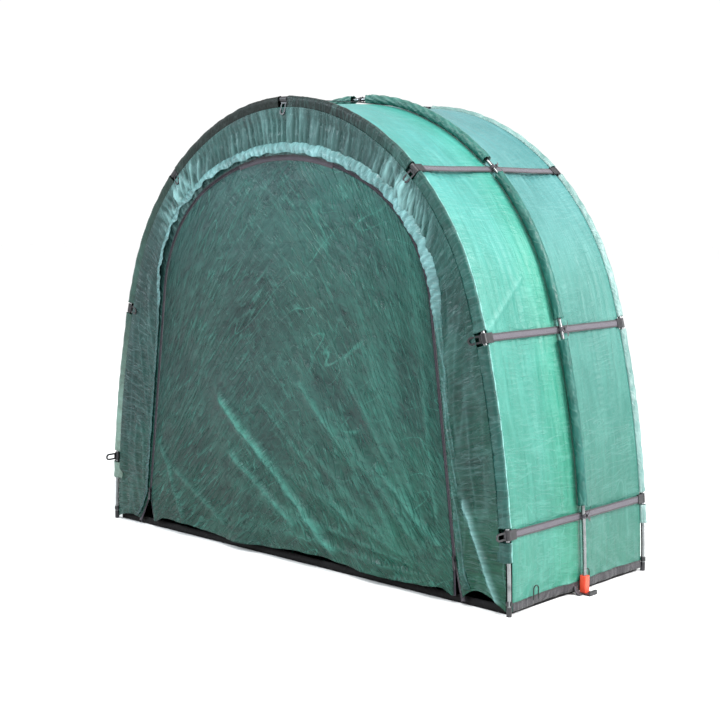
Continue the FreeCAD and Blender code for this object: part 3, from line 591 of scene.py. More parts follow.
pole_steel = plated("pole_steel", (0.22, 0.23, 0.235, 1), (0.10, 0.11, 0.11, 1), 0.26)
zip_enamel = plated("zip_enamel", (0.020, 0.020, 0.024, 1), (0.16, 0.15, 0.16, 1), 0.34, 0.4)
loop_cord = braided("loop_cord", (0.006, 0.012, 0.010, 1), (0.04, 0.065, 0.055, 1))
elastic = braided("elastic", (0.012, 0.012, 0.012, 1), (0.10, 0.10, 0.10, 1))


# ---- the roof and side walls ----
cover_foot = hoop_length - ground_clearance
cover_depth = cover_edge
front_crease = (Vector((1.238, 0.010)), Vector((1.075, 0.245)))


def cover_folds(s, depth, seed):
    """How far the tarp stands off the hoops' line, as it sags between hoops and puckers at the straps.

    Gives the crest too, where the tarp gets a pale painted highlight."""
    across = depth / cover_depth
    held = clamp(min(across, 1 - across) / 0.08)
    out = -0.009 * math.sin(math.pi * across)
    crinkle = crumple(s / 0.33, depth / 0.034, seed)
    out += held * 0.0022 * crinkle
    out += held * 0.0060 * waver(s / 0.42, depth / 0.17, seed + 5)
    ladder = math.exp(-((across - 0.46) / 0.055) ** 2) * clamp(1.3 - abs(abs(s) - 1.47) / 0.24)
    rung = math.sin(s / 0.0035 + 3 * waver(s / 0.03, 0, seed))
    out += 0.0016 * ladder * rung
    crest = 0.10 * clamp(crinkle - 0.4) + 0.10 * ladder * clamp(rung)
    for station in all_stations:
        near = math.exp(-abs(s - station) / 0.055)
        if near > 0.02:
            pucker = waver(depth / 0.016, station * 7, seed + 9)
            out += held * 0.0038 * near * pucker
            crest += 0.30 * held * near * clamp(pucker * 1.6)
    low = math.exp(-(cover_foot - abs(s)) / 0.075)
    slanting = waver((abs(s) + 0.8 * depth) / 0.05, (depth - 0.8 * abs(s)) / 0.16, seed + 13)
    drawn = clamp(1 - 4 * abs(slanting))
    crest += 0.45 * low * held * drawn ** 2
    out += 0.003 * low * held * drawn
    out += low * (0.0045 * waver(depth / 0.055, math.copysign(2, s), seed + 11) - 0.001)
    sharp = crease(Vector((s, depth)), *front_crease, 0.014) if seed == front_seed else 0.0
    out += 0.006 * sharp
    return clamp(out, -0.020, 0.0042), crest + 0.25 * sharp


front_seed = 1.0
rear_seed = 31.0


def cover_panel(name, side, seed):
    """One half of the roof and walls, from hem to hem over the ridge: -1 front, 1 rear."""
    def place(u, v):
        s = (2 * u - 1) * cover_foot
        depth = v * (cover_depth - 0.0006)
        y = side * (cover_depth - depth)
        out, crest = cover_folds(s, depth, seed)
        return on_hoop(s, out, y), crest

    shape = bmesh.new()
    grid(shape, 660, 46, (2 * cover_foot, cover_depth), place)
    return finished(name, shape, tarp_thickness)


for word, side, seed, material in (
        ("front", -1, front_seed, side_tarp), ("rear", 1, rear_seed, rear_side_tarp)):
    panel = cover_panel(f"{word}_cover", side, seed)
    dress(panel, material, "side_tarp", "shelter", f"{word}_cover_panel")


# ---- flat ends: patches between four edges ----
def patch(bottom, top, left, right):
    """A point function that fills the space between four edge functions, as Coons' patch does."""
    corners = (bottom(0), bottom(1), top(0), top(1))

    def at(u, v):
        ruled = bottom(u) * (1 - v) + top(u) * v + left(v) * (1 - u) + right(v) * u
        flat = corners[0] * ((1 - u) * (1 - v)) + corners[1] * (u * (1 - v))
        flat += corners[2] * ((1 - u) * v) + corners[3] * (u * v)
        return ruled - flat

    return at


door_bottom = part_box("door_panel")[0].z
door_foot = door_length - door_bottom / math.cos(door_leg_lean)
fan_centre = Vector((0.74, 0.06))
long_folds = [     # from, to, half width and height of the folds pulled across the door's lower half
    (Vector((-0.335, 0.545)), Vector((0.225, 0.070)), 0.034, 0.0150),
    (Vector((-0.290, 0.350)), Vector((0.040, 0.130)), 0.028, 0.0100),
    (Vector((-0.130, 0.560)), Vector((0.330, 0.170)), 0.022, 0.0060),
    (Vector((0.080, 0.640)), Vector((0.520, 0.180)), 0.024, 0.0070),
    (Vector((0.440, 0.390)), Vector((0.700, 0.185)), 0.026, 0.0100),
    (Vector((-0.700, 0.330)), Vector((-0.560, 0.060)), 0.022, 0.0070),
    (Vector((-0.640, 0.260)), Vector((-0.330, 0.080)), 0.020, 0.0050)]


def door_edge(d):
    return zip_point(d, -zip_reveal)


def door_folds(x, z, u, v):
    """How far the door hangs behind (+) or in front (-) of its plane, and its crest, where a pale highlight
    is painted.
    """
    rim = min(u, 1 - u) * 1.5
    held = ease(min(rim, (1 - v) * 1.4) / 0.10)
    loose = ease(min(rim, (1 - v) * 1.4) / 0.45)
    depth = 0.014 * loose * waver(x / 0.50, z / 0.62, 3.0)
    depth += 0.0060 * held * waver(x / 0.17, z / 0.23, 8.0)
    spoke = Vector((x, z)) - fan_centre
    reach = spoke.length
    angle = math.atan2(spoke.y, -spoke.x)
    fan = ease(reach / 0.25) * ease((1.25 - reach) / 0.8)
    blade = 1 - 3.2 * abs(waver(angle * 5.2, reach / 1.1, 12.0))
    depth -= 0.0085 * held * fan * blade
    falling = crumple((x * 0.72 - z * 0.69) / 0.22, (z * 0.72 + x * 0.69) / 0.036, 5.0)
    rising = crumple((x * 0.66 + z * 0.75) / 0.22, (z * 0.66 - x * 0.75) / 0.036, 15.0)
    to_right = ease((x + 0.25) / 0.5)
    small = falling * to_right + rising * (1 - to_right)
    depth -= 0.0034 * held * small
    hem = math.exp(-(z - door_bottom) / 0.10)
    flutter = 0.5 + 0.5 * math.sin(x / 0.052 + 3.5 * waver(x / 0.22, 0.0, 21.0))
    depth -= hem * (0.004 + 0.013 * flutter * held)
    crest = 0.18 * clamp(small - 0.35) + 0.55 * fan * clamp(blade - 0.5)
    for start, end, width, height in long_folds:
        pull = crease(Vector((x + 0.012 * waver(x / 0.1, z / 0.1, 30.0), z)), start, end, width)
        depth -= height * held * pull
        crest += 0.70 * height / 0.015 * pull
    return depth, clamp(crest, 0.0, 0.75)


def door_panel():
    at = patch(
        lambda u: door_edge(-door_foot).lerp(door_edge(door_foot), u),
        lambda u: door_edge((2 * u - 1) * door_arc_length),
        lambda v: door_edge(-door_foot + v * (door_foot - door_arc_length)),
        lambda v: door_edge(door_foot - v * (door_foot - door_arc_length)))

    def place(u, v):
        point = at(u, v)
        hem = math.exp(-(point.y - door_bottom) / 0.07)
        swing = 0.010 * math.sin(point.x / 0.115 + 0.6)
        lift = hem * (0.014 + swing + 0.006 * waver(point.x / 0.10, 0, 44.0))
        lift *= ease(min(u, 1 - u) / 0.04)
        depth, crest = door_folds(point.x, point.y, u, v)
        return Vector((point.x, front_y + depth, point.y + lift)), crest

    shape = bmesh.new()
    grid(shape, 230, 200, (1.57, 1.42), place)
    return finished("door_cloth", shape, tarp_thickness)


door = settle(door_panel())
dress(door, door_tarp, "end_tarp", None, "door_panel")
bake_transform(door)


# ---- the surround of the door, with its gathers ----
skirt_turn = sleeve_end_rise + 0.012
seam_depth = 0.027
corner_fold = (Vector((0.815, 0.330)), Vector((0.945, 0.030)))


def seam_inset(s):
    """How far inside the pole's line the end walls are sewn: nearly at the pole below the sleeve."""
    low = ease((abs(s) - (hoop_length - skirt_turn) + 0.012) / 0.024)
    return seam_depth * (1 - low) + pole_side_gap * low


def surround_folds(s, x, z, v):
    """How far the surround's folds stand forward of its plane, and its crest, where a pale highlight is
    painted.
    """
    side = 1 if s > 0 else -1
    held = math.sin(math.pi * clamp(v, 0.0, 1.0)) ** 0.6
    pull = math.exp(-((abs(s) - strap_places[0]) / 0.17) ** 2)
    pull += 0.60 * math.exp(-(s / 0.32) ** 2)
    fan = 2.4 * (v - 0.5) * waver(s / 0.32, 1.0, 6.0)
    count = s / 0.068 + 1.6 * waver(s / 0.21, side * 3, 4.0) + fan
    fine = s / 0.025 + 1.2 * waver(s / 0.12, side * 5, 14.0) + 1.6 * fan
    big = gather(count) ** 1.6
    thin = gather(fine) ** 1.8
    patchy = clamp(0.55 + 0.9 * waver(s / 0.10, v * 1.5, 22.0))
    lift = (0.0040 + 0.0140 * pull) * big * patchy
    lift += (0.0014 + 0.0042 * pull) * thin
    # knots of folds at the shoulders, also given a pale painted highlight through the crest
    knot = math.exp(-((abs(s) - strap_places[0]) / 0.13) ** 2 - ((v - 0.45) / 0.34) ** 2)
    knot *= clamp(0.35 + 2.2 * waver(s / 0.034 + v, v * 2.6 + s / 0.08, 33.0 + side))
    lift += 0.0100 * knot
    crest = (0.02 + 0.66 * pull) * big ** 2.5 * patchy + (0.02 + 0.36 * pull) * thin ** 3 + 0.75 * knot
    leg = ease((abs(s) - 0.95) / 0.25)
    ribs = 0.5 + 0.5 * math.sin(z / 0.0105 + 2.6 * waver(z / 0.10, side, 8.0) + 2.2 * v)
    upper = ease((z - 0.55) / 0.35)
    ribbed = leg * upper * clamp(0.25 + 1.5 * abs(waver(z / 0.16, side * 2, 9.0)))
    lift += 0.0062 * ribs * ribbed
    crest += 0.14 * ribs ** 4 * ribbed * clamp(0.3 + 1.6 * waver(z / 0.12, v * 1.6, 26.0))
    long = clamp(1 - 3 * abs(waver(z / 0.34, x / 0.045, 11.0)))
    lift += leg * 0.0050 * long
    crest += 0.12 * leg * long ** 4
    if side > 0:
        strong = crease(Vector((x, z)), *corner_fold, 0.028)
        lift += 0.016 * strong
        crest += 0.75 * strong ** 1.5
    lift += 0.0022 * crumple(s / 0.085, v * 2.2, 2.0)
    return clamp(held * lift, -0.001, 0.024), clamp(crest * (0.35 + 0.65 * held))


def surround_hem(side, v):
    """How far the surround's lower edge is drawn up between the zip and the pole."""
    rise = 0.042 if side > 0 else 0.014
    return 0.010 * (1 - v) + rise * math.sin(math.pi * v ** 0.8)


def surround():
    def place(u, v):
        t = 2 * u - 1
        inner = zip_point(t * (door_length - ground_clearance), zip_reveal)
        s = t * (hoop_length - ground_clearance)
        outer = follow(hoop_arcs, s, -seam_inset(s))[0]
        point = inner.lerp(outer, v)
        lift, crest = surround_folds(s, point.x, point.y, v)
        over_sleeve = 0.0098 * ease((v - 0.66) / 0.24) * ease((hoop_length - skirt_turn - abs(s)) / 0.03)
        rise = surround_hem(t, v) * math.exp(-(point.y - ground_clearance) / 0.06)
        return Vector((point.x, front_y - max(lift, over_sleeve), point.y + rise)), crest

    shape = bmesh.new()
    grid(shape, 960, 46, (2 * hoop_length, 0.19), place)
    return finished("surround_cloth", shape, tarp_thickness)


surround_cloth = dress(surround(), surround_tarp, "end_tarp", "shelter", "front_surround")


# ---- the rain flap over the zip ----
flap_inner = 0.010
flap_width = 0.040


def storm_flap():
    """A band sewn along its outer edge; its inner edge stands off the zip and is scalloped."""
    def place(u, v):
        t = 2 * u - 1
        d = t * (door_length - ground_clearance)
        side = 1 if d > 0 else -1
        leg = ease((abs(d) - 0.78) / 0.30)
        shoulder = math.exp(-((abs(d) - 0.62) / 0.22) ** 2)
        stand = 0.0150 * (1 - leg) + 0.0070 * leg + 0.0060 * shoulder * (side < 0)
        stand *= 0.80 + 0.6 * waver(d / 0.11, side * 4, 3.0)
        scallop = 0.5 + 0.5 * math.sin(d / 0.0135 + 2.4 * waver(d / 0.14, side, 2.0))
        depth_of_scallop = 0.0060 * (1 - 0.6 * leg) + 0.0060 * shoulder * (side < 0)
        free = 1 - v
        start = flap_inner + 0.008 * leg * (side > 0)
        width = flap_width * (1 - 0.40 * leg)
        out = start + width * v + depth_of_scallop * scallop * free + 0.0015 * waver(d / 0.05, v, 9.0)
        arch = 0.0045 * math.sin(math.pi * v) * (1 + waver(d / 0.07, 0.0, 12.0))
        pinch = gather(d / 0.027 + 1.1 * waver(d / 0.10, 0, 7.0) + 0.8 * v)
        forward = 0.0022 + stand * free ** 0.8 + arch + 0.0045 * pinch * free * (1 - 0.6 * leg)
        forward += 0.0010 * crumple(d / 0.05, v * 1.2, 5.0)
        # painted highlight: pale in patches along the crown and shoulders, in thin wandering lines on the
        # right leg and in a band near the zip on the left leg
        cloudy = clamp(0.55 + 0.9 * waver(d / 0.10, v * 0.8, 24.0))
        crest = (1 - leg) * (0.20 + 0.40 * cloudy + 0.25 * pinch ** 4)
        thin_highlight = clamp(1 - 5 * abs(waver(d / 0.16, v * 1.3, 27.0)))
        crest += leg * (0.38 * thin_highlight ** 3 * (side > 0) + 0.14 * (side < 0) * ease((0.30 - v) / 0.2))
        point = zip_point(d, out)
        rise = surround_hem(t, 0.25) * math.exp(-(point.y - ground_clearance) / 0.05)
        return Vector((point.x, front_y - forward, point.y + rise)), clamp(crest)

    shape = bmesh.new()
    grid(shape, 960, 14, (2 * door_length, flap_width), place)
    return finished("flap_cloth", shape, tarp_thickness)


flap = dress(storm_flap(), flap_tarp, "end_tarp", "shelter", "storm_flap")


# ---- the rear wall ----
def rear_folds(x, z, rim):
    """How far the rear wall stands behind its plane, and its crest, where a pale highlight is painted."""
    held = ease(rim / 0.06)
    loose = ease(rim / 0.30)
    depth = 0.012 * loose * waver(x / 0.45, z / 0.55, 53.0)
    upright = crumple(x / 0.11, z / 0.34, 55.0)
    slanting = crumple((x + z) / 0.20, (x - z) / 0.06, 57.0)
    drawn = gather(x / 0.085 + waver(x / 0.3, 0, 58.0)) * ease((z - 0.85) / 0.6)
    depth += held * (0.0040 * upright + 0.0022 * slanting + 0.0050 * drawn)
    return clamp(depth, -0.012, 0.014), held * (0.14 * clamp(upright - 0.3) + 0.16 * clamp(slanting - 0.4))


def rear_wall():
    def edge(s):
        return follow(hoop_arcs, s, -seam_inset(s))[0]

    foot = hoop_length - ground_clearance
    turn = hoop_length - leg_radius * (math.pi / 2 - shoulder_angle)
    at = patch(
        lambda u: edge(-foot).lerp(edge(foot), u),
        lambda u: edge((2 * u - 1) * turn),
        lambda v: edge(-foot + v * (foot - turn)),
        lambda v: edge(foot - v * (foot - turn)))

    def place(u, v):
        point = at(u, v)
        depth, crest = rear_folds(point.x, point.y, min(u, 1 - u, v * 0.6, (1 - v) * 1.3))
        return Vector((point.x, rear_y + depth, point.y)), crest

    shape = bmesh.new()
    grid(shape, 210, 190, (1.90, 1.57), place)
    return finished("rear_cloth", shape, tarp_thickness)


rear = dress(rear_wall(), rear_wall_tarp, "end_tarp", "shelter", "rear_wall")


# ---- sleeves on the front and rear hoops ----
sleeve_profile = [
    (0.0002, 0.0158), (0.0038, 0.0105), (0.0074, 0.0050), (0.0090, -0.0012), (0.0064, -0.0068),
    (-0.0015, -0.0096), (-0.0120, -0.0090), (-0.0220, -0.0078), (-0.0320, -0.0055), (-0.0370, -0.0030),
    (-0.0320, 0.0018), (-0.0220, 0.0050), (-0.0120, 0.0076), (-0.0020, 0.0092), (0.0008, 0.0120)]


def bend_through(points, share):
    """Point of a smooth curve through a list of points (Catmull-Rom), its slope and its chord there."""
    last = len(points) - 1
    place = clamp(share, 0.0, 0.99999) * last
    index = int(place)
    t = place - index
    a, b, c, d = (Vector(points[clamp(index + k, 0, last)]) for k in (-1, 0, 1, 2))
    square = 2 * a - 5 * b + 4 * c - d
    cube = 3 * b - a - 3 * c + d
    point = 0.5 * (2 * b + (c - a) * t + square * t * t + cube * t ** 3)
    slope = 0.5 * ((c - a) + 2 * square * t + 3 * cube * t * t)
    return point, slope, c - b


def sleeve_runs(gap, foot_end):
    stops = [0.0] + strap_places
    runs = [(a + gap / 2, b - gap / 2) for a, b in zip(stops, stops[1:])]
    if foot_end:
        runs.append((stops[-1] + gap / 2, foot_end))
    return runs


def edge_sleeve(name, y, inward, side, seed):
    """The sleeve's runs on one side: a flat tube round the pole, gathered at the ends of each run."""
    shape = bmesh.new()
    for start, end in sleeve_runs(sleeve_gap, hoop_length - sleeve_end_rise):
        length = end - start

        def place(u, v, start=start, end=end, length=length):
            s = start + u * length
            point, slope, _ = bend_through(sleeve_profile, v)
            normal = Vector((slope.y, -slope.x)).normalized()
            if normal.dot(point - Vector((-0.02, 0.0))) < 0:
                normal = -normal
            near_end = math.exp(-(s - start) / 0.030) + math.exp(-(end - s) / 0.030)
            slant = s / 0.075 + 0.9 * v * 2 + 1.1 * waver(s / 0.25, seed, 1.0)
            fullness = 0.4 + 0.6 * abs(waver(s / 0.13, v, seed))
            puff = (0.0026 if inward > 0 else 0.0044) * gather(slant) * fullness
            puff += 0.0022 * near_end * gather(v * 9 + waver(s / 0.05, 0, seed))
            puff += 0.0008 * crumple(s / 0.05, v * 1.5, seed + 2)
            sewn = clamp(v / 0.05) * clamp((1 - v) / 0.04)
            point = point + normal * clamp(puff, 0.0, 0.0055) * sewn
            edge = 0.0045 * near_end * waver(v * 3.1, start * 9, seed + 4)
            # painted highlight: a pale line along the outer side of the right front sleeve, away from the
            # crown; the rear sleeves are painted pale on their puffs
            highlight_line = math.exp(-((v - 0.11) / 0.085) ** 4) * ease((side * s - 0.35) / 0.25)
            crest = highlight_line if inward > 0 else 0.45 * clamp(puff / 0.0045) ** 2
            return on_hoop(side * (s + edge), point.x, y + inward * point.y), crest

        grid(shape, max(12, int(length / 0.0055)), 42, (length, 0.14), place)
    return finished(name, shape, tarp_thickness)


for word, y, inward in (("front", front_y, 1), ("rear", rear_y, -1)):
    for side, hand in ((-1, "left"), (1, "right")):
        node = f"{word}_sleeve_{hand}"
        piece = edge_sleeve(f"{word}_channel_{hand}", y, inward, side, 3.0 * side + inward)
        # the rear sleeves take the copy painted lighter, as lit; the left front sleeve takes the copy with
        # painted shade and painted light through it
        material = rear_sleeve_tarp if word == "rear" else (left_sleeve_tarp if side < 0 else sleeve_tarp)
        dress(piece, material, "sleeve_tarp", "shelter", node)


# ---- sleeves on the middle hoop ----
def mid_sleeve(name, side, seed):
    """Loose tubes over the middle pole, drawn up in slanting gathers."""
    shape = bmesh.new()
    for start, end in sleeve_runs(mid_sleeve_gap, None):
        length = end - start

        def place(u, v, start=start, end=end, length=length):
            s = start + u * length
            angle = 2 * math.pi * v
            near_end = math.exp(-(s - start) / 0.035) + math.exp(-(end - s) / 0.035)
            drawn = math.exp(-s / 0.35)
            slant = s / 0.048 + 1.0 * math.cos(angle) + 1.2 * waver(s / 0.18, seed, 2.0)
            fold = gather(slant)
            radius = mid_sleeve_radius - 0.0008 + 0.0030 * (0.25 + drawn) * (fold - 0.4)
            radius += 0.0016 * near_end * math.sin(7 * angle + 3 * waver(s / 0.04, 1.0, seed))
            radius += 0.0009 * crumple(s / 0.06, math.sin(angle) * 0.6, seed)
            out = max(radius * math.cos(angle), 0.0028 - mid_rise + 0.001)
            across = radius * math.sin(angle) * (1.10 + 0.06 * waver(s / 0.2, 4.0, seed))
            edge = 0.004 * near_end * waver(math.cos(angle) * 2, math.sin(angle) * 2, seed + 3)
            # painted highlight: a pale line along one side of the tube, and pale tops on the gathers near the
            # ridge
            highlight_line = math.exp(-((v - 0.20) / 0.035) ** 2) * 0.8
            return on_hoop(side * (s + edge), mid_rise + out, across), max(highlight_line, 0.3 * drawn * fold ** 4)

        grid(shape, int(length / 0.0050), 40, (length, 0.098), place, seam=True)
    return finished(name, shape, tarp_thickness)


for side, hand in ((-1, "left"), (1, "right")):
    piece = mid_sleeve(f"mid_channel_{hand}", side, 20.0 + side)
    dress(piece, mid_sleeve_tarp, "sleeve_tarp", "shelter", f"mid_sleeve_{hand}")


# ---- the floor tray ----
def floor_tray():
    shape = bmesh.new()
    lift = tarp_thickness / 2 + 0.0002

    def place(u, v):
        x = (2 * u - 1) * (tray_half_x - 0.001)
        y = (2 * v - 1) * (tray_half_y - 0.001)
        rim = min(u, 1 - u, v, 1 - v)
        ripple = 0.0022 * ease(rim / 0.05) * max(0.0, waver(x / 0.13, y / 0.10, 61.0) + 0.1)
        return Vector((x, y, lift + ripple))

    grid(shape, 220, 84, (2 * tray_half_x, 2 * tray_half_y), place)
    rim_edges = [edge for edge in shape.edges if edge.is_boundary]
    uv = shape.loops.layers.uv["cloth"]
    for rise in (0.010, tray_upstand - 0.001):
        made = bmesh.ops.extrude_edge_only(shape, edges=rim_edges)["geom"]
        rim_edges = [part for part in made if isinstance(part, bmesh.types.BMEdge) and part.is_boundary]
        for vertex in {vertex for edge in rim_edges for vertex in edge.verts}:
            wave = 0.0015 * waver(vertex.co.x / 0.07, vertex.co.y / 0.07, 63.0)
            vertex.co.z = rise + wave - 0.0015
        for face in {face for edge in rim_edges for face in edge.link_faces}:
            for loop in face.loops:
                loop[uv].uv = (loop.vert.co.x + loop.vert.co.y, loop.vert.co.z)
    return finished("floor_sheet", shape, tarp_thickness)


floor_cloth = dress(floor_tray(), floor_tarp, "floor_sheet", "shelter", "groundsheet")


# ---- hem tapes ----
def side_hem(name, side):
    """Tape sewn over the lower edge of a side wall, which it follows."""
    def place(u, v):
        y = (2 * u - 1) * (cover_edge - 0.0005)
        s = cover_foot - hem_width * (1 - v)
        seed = front_seed if y < 0 else rear_seed
        depth = clamp(cover_depth - abs(y), 0.0, cover_depth)
        out = cover_folds(side * s, depth, seed)[0]
        crest = 0.0006 * math.sin(math.pi * v)
        return on_hoop(side * s, out + 0.0017 + crest, y)

    shape = bmesh.new()
    grid(shape, 260, 8, (2 * cover_edge, hem_width), place)
    return finished(name, shape, webbing_thickness * 0.7)


dress(side_hem("hem_right", 1), hem_webbing, "black_webbing", "shelter", "hem_tape_right")
dress(side_hem("hem_left", -1), hem_webbing, "black_webbing", "shelter", "hem_tape_left")


def rear_hem():
    half = hoop_half_span - sleeve_seam_depth

    def place(u, v):
        x = (2 * u - 1) * half
        z = ground_clearance + hem_width * v
        rim = min((half - abs(x)) / 1.9, (z - ground_clearance) * 0.6 / 1.57)
        return Vector((x, rear_y + rear_folds(x, z, rim)[0] + 0.0022, z))

    shape = bmesh.new()
    grid(shape, 300, 6, (2 * half, hem_width), place)
    return finished("hem_rear", shape, webbing_thickness * 0.7)


dress(rear_hem(), hem_webbing, "black_webbing", "shelter", "hem_tape_rear")


# ---- webbing straps ----
def strap(name, s):
    """A strap from the front clip, under the middle pole, to the rear clip."""
    half = rear_y - strap_end_inset
    point, tangent, outward = hoop_axes(s)

    def place(u, v):
        y = (2 * u - 1) * half
        share = 1 - abs(y) / half
        height = strap_end_height + (strap_mid_height - strap_end_height) * share
        height -= 0.0016 * math.sin(math.pi * share) - 0.0006 * waver(y / 0.06, s, 5.0)
        cup = 0.0007 * (2 * v - 1) ** 2
        drift = 0.0016 * waver(y / 0.15, s * 3, 7.0) * math.sin(math.pi * share)
        aside = tangent * ((v - 0.5) * strap_width + drift)
        return point + aside + outward * (height - cup) + Vector((0, y, 0))

    shape = bmesh.new()
    grid(shape, 150, 10, (2 * half, strap_width), place)
    return finished(name, shape, webbing_thickness)


strap_nodes = {0.0: "strap_ridge"}
for level, s in zip(("high", "middle", "low"), strap_places):
    strap_nodes[s] = f"strap_{level}_right"
    strap_nodes[-s] = f"strap_{level}_left"
for s, node in strap_nodes.items():
    dress(strap(node.replace("strap", "webbing"), s), strap_webbing, "black_webbing", "shelter", node)


# ---- ribbons: ties and tabs ----
def ribbon(shape, points, width, across, lean=0.0):
    """Adds a flat tape along a smooth curve through points; across is its width's direction.

    It twists by lean, in radians, from its first point to its last."""
    length = sum((b - a).length for a, b in zip(points, points[1:]))

    def place(u, v):
        centre, _, chord = bend_through(points, u)
        aside = across
        if lean:
            aside = across * math.cos(lean * u) + chord.cross(across).normalized() * math.sin(lean * u)
        return centre + aside * ((v - 0.5) * width)

    grid(shape, max(8, int(length / 0.0022)), 4, (length, width), place)


def tie_set():
    """At each strap: two turns of tape over the middle pole, a knot on its rear side and two loose tails."""
    shape = bmesh.new()
    for s in all_stations:
        point, tangent, outward = hoop_axes(s)
        depth = Vector((0, 1, 0))

        def local(x, y, z, point=point, tangent=tangent, outward=outward):
            return point + tangent * x + Vector((0, y, 0)) + outward * z

        turn_radius = pole_radius + 0.0012
        for shift, slant, extra in ((-0.0035, 0.0030, 0.0), (0.0045, -0.0035, 0.0012)):
            loop = []
            for step in range(13):
                angle = math.radians(-55 + 290 * step / 12)
                reach = turn_radius + extra
                loop.append(local(shift + slant * (step / 6 - 1), reach * math.cos(angle),
                                  mid_rise + reach * math.sin(angle)))
            foot = local(shift - slant, 0.0075, strap_mid_height + 0.0026)
            other = local(shift + slant, -0.0075, strap_mid_height + 0.0026)
            ribbon(shape, [foot] + loop + [other], 0.0070, tangent)
        knot = []
        for step in range(19):
            a = 2 * math.pi * step / 18
            ring = 2 + math.cos(3 * a)
            knot.append(local(
                0.0021 * ring * math.cos(2 * a), turn_radius + 0.0035 + 0.0016 * math.sin(3 * a),
                mid_rise + 0.005 + 0.0021 * ring * math.sin(2 * a)))
        ribbon(shape, knot, 0.0040, depth)
        for turned, fall, length in ((0.62, 0.010, 0.045), (-0.52, 0.003, 0.043)):
            tail = []
            for step in range(7):
                t = step / 6
                curl = 0.0035 * math.sin(2.6 * t + s)
                tail.append(local(
                    length * t * math.sin(turned) + curl, 0.011 + length * t * math.cos(turned) * 0.8,
                    mid_rise + 0.005 + 0.004 * math.sin(math.pi * t) - fall * t * t))
            ribbon(shape, tail, 0.0062, (tangent * math.cos(turned) - depth * math.sin(turned)), 0.5)
    return finished("pole_ties", shape, tie_thickness)


dress(tie_set(), tie_webbing, "black_webbing", "shelter", "mid_pole_ties")


def corner_tapes():
    """Tape from each corner clip down to the cover's lower corner."""
    shape = bmesh.new()
    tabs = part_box("corner_tabs")
    for side_x in (-1, 1):
        for side_y in (-1, 1):
            inward = Vector((-side_x, -side_y, 0)).normalized()
            pole = Vector((side_x * hoop_half_span, side_y * rear_y, 0))
            top = pole + inward * 0.0245 + Vector((0, 0, tabs[1].z - 0.002))
            low = pole + inward * 0.0405 + Vector((0, 0, tabs[0].z + 0.003))
            middle = top.lerp(low, 0.5) + inward * 0.002
            across = Vector((-inward.y, inward.x, 0))
            ribbon(shape, [top, top.lerp(middle, 0.5), middle, middle.lerp(low, 0.5), low], 0.014, across)
    return finished("corner_tapes", shape, tab_thickness)


dress(corner_tapes(), tie_webbing, "black_webbing", "shelter", "corner_tabs")


def foot_tapes():
    """Tape from the hem down over the edge of the base plate, beside each middle foot."""
    shape = bmesh.new()
    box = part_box("mid_foot_tabs")
    y = (box[0].y + box[1].y) / 2
    for side in (-1, 1):
        top = Vector((side * (hoop_half_span + 0.0045), y, box[1].z - 0.001))
        low = Vector((side * (box[1].x - 0.002), y, 0.0022))
        bend = Vector((side * (hoop_half_span + 0.0085), y, 0.012))
        points = [top, top.lerp(bend, 0.5), bend, bend.lerp(low, 0.45) - Vector((0, 0, 0.003)), low]
        ribbon(shape, points, 0.020, Vector((0, 1, 0)))
    return finished("foot_tapes", shape, tab_thickness)


dress(foot_tapes(), tie_webbing, "black_webbing", "shelter", "mid_foot_tabs")


# ---- zips: tapes and coils ----
tooth_pitch = 0.0040
tooth_size = (0.0030, 0.0022, 0.0023)
tooth_round = 0.0005
zip_tape_thickness = 0.0008


def zip_half(name, side_of_zip, foot):
    """Tape behind the cloth's edge and the coil's teeth, on both zips: 1 on the surround, -1 on the door."""
    shape = bmesh.new()
    face = front_y + 0.0014
    top_d = zip_stop_half_width
    for side in (-1, 1):
        start = top_d + 0.002
        end = door_length - foot

        def place(u, v, side=side):
            d = start + u * (end - start)
            out = side_of_zip * (0.0010 + 0.0148 * v)
            point = zip_point(side * d, out)
            return Vector((point.x, face, point.y))

        grid(shape, 500, 3, (end - start, 0.015), place)
    band = finished(f"{name}_tape", shape, zip_tape_thickness)

    tooth = bmesh.new()
    bmesh.ops.create_cube(tooth, size=1.0)
    bmesh.ops.scale(tooth, vec=tooth_size, verts=tooth.verts)
    bmesh.ops.bevel(tooth, geom=tooth.edges, offset=tooth_round, segments=1, profile=0.5, affect="EDGES",
                    material=-1)
    pattern = bpy.data.meshes.new("tooth")
    tooth.to_mesh(pattern)
    tooth.free()
    teeth = bmesh.new()
    for side in (-1, 1):
        count = int((door_length - foot - top_d) / tooth_pitch)
        for index in range(count):
            d = top_d + 0.004 + (index + (0.5 if side_of_zip > 0 else 0.0)) * tooth_pitch
            point = zip_point(side * d, side_of_zip * 0.0012)
            normal = follow(door_arcs, side * d)[1]
            known = len(teeth.verts)
            teeth.from_mesh(pattern)
            teeth.verts.ensure_lookup_table()
            fresh = teeth.verts[known:]
            angle = math.atan2(normal.x, normal.y)
            spin = Matrix.Rotation(angle - math.pi / 2, 4, "Y")
            bmesh.ops.transform(teeth, matrix=Matrix.Translation((point.x, front_y + 0.0004, point.y)) @ spin,
                                verts=fresh)
    coil = finished(f"{name}_coil", teeth)
    for polygon in coil.data.polygons:
        polygon.use_smooth = False
    return band, coil


for name, side_of_zip, foot, node in (
        ("front_zip", 1, ground_clearance, "frame_zip_tape"), ("door_zip", -1, door_bottom, "door_zip_tape")):
    band, coil = zip_half(name, side_of_zip, foot)
    settle(band)
    body = "shelter" if side_of_zip > 0 else None
    dress(band, zip_cloth, "zip_tape", body, node)
    dress(coil, coil_nylon, "zip_tape", body, node)
    if side_of_zip < 0:
        for piece in (band, coil):
            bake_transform(piece)


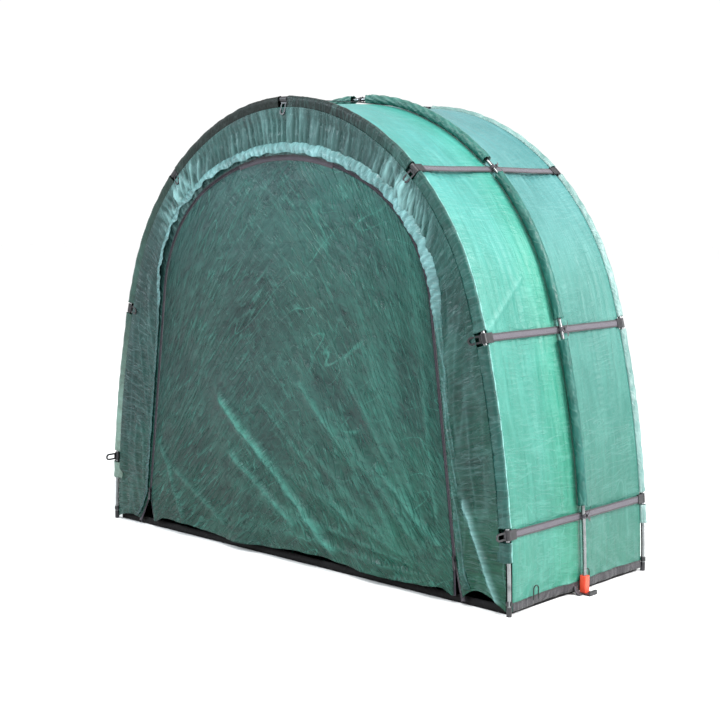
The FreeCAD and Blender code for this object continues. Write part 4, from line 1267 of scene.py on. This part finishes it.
def crown_binding():
    """Tape over the seam at the crown, where the door is sewn to the surround and no zip runs."""
    reach = zip_stop_half_width + 0.006
    width = 0.026

    def place(u, v):
        d = (2 * u - 1) * reach
        point = follow(door_arcs, d, (v - 0.5) * width)[0]
        return Vector((point.x, front_y - 0.0004 - 0.0006 * waver(d / 0.03, v, 71.0), point.y))

    shape = bmesh.new()
    grid(shape, 120, 6, (2 * reach, width), place)
    return finished("crown_binding", shape, zip_tape_thickness)


binding = settle(crown_binding())
dress(binding, zip_cloth, "zip_tape", None)
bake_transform(binding)


# ---- finishes of the frame's own pieces ----
finishes = [
    (pole_steel, "pole_section"), (elastic, "shock_cord"), (black_plastic, "pole_end_caps"),
    (zip_enamel, "zip_slider"), (zip_enamel, "zip_pull"), (loop_cord, "hem_loops"),
    (black_plastic, "strap_front_hooks"), (black_plastic, "strap_rear_hooks"),
    (orange_plastic, "mid_foot_left"), (orange_plastic, "mid_foot_right"), (black_plastic, "mid_base"),
    (black_plastic, "corner_hooks")]
for node_name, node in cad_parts.items():
    for material, word in finishes:
        if word in node_name:
            node.data.materials.clear()
            node.data.materials.append(material)


# ---- floor, light and background ----
def studio():
    floor_shape = bmesh.new()
    bmesh.ops.create_grid(floor_shape, x_segments=2, y_segments=2, size=30.0)
    floor = finished("studio_floor", floor_shape)
    material, tree = blank("studio_white")
    grain = cloud(tree, add(tree, "ShaderNodeTexCoord").outputs["Object"], 3.0)
    paint = tint(tree, grain, (0.955, 0.955, 0.955, 1), (0.97, 0.97, 0.97, 1))
    face = add(tree, "ShaderNodeBsdfPrincipled", {"Base Color": paint, "Roughness": 0.9})
    output(tree, face.outputs[0])
    floor.data.materials.append(material)

    world = bpy.data.worlds.new("soft_white")
    world.use_nodes = True
    background = world.node_tree.nodes["Background"]
    background.inputs[0].default_value = (1.0, 1.0, 1.0, 1)
    background.inputs[1].default_value = 1.04
    bpy.context.scene.world = world
    bpy.context.scene.view_settings.view_transform = "Standard"

    lamps = (     # name, place, aim, width, watts, colour
        ("key", (4.6, 1.2, 3.4), (0.7, 0.0, 0.9), 3.2, 420, (1.0, 1.0, 1.0)),
        ("sky", (-3.4, -4.0, 3.4), (0.0, -0.4, 0.9), 1.6, 150, (0.80, 0.92, 1.0)),
        ("top", (0.8, -1.6, 4.2), (0.1, -0.2, 0.9), 1.0, 90, (1.0, 1.0, 1.0)),
    )
    for name, place, aim, size, power, colour in lamps:
        data = bpy.data.lights.new(name, "AREA")
        data.size = size
        data.energy = power
        data.color = colour
        lamp = bpy.data.objects.new(name, data)
        bpy.context.scene.collection.objects.link(lamp)
        direction = Vector(aim) - Vector(place)
        lamp.rotation_euler = direction.to_track_quat("-Z", "Y").to_euler()
        lamp.location = place


studio()
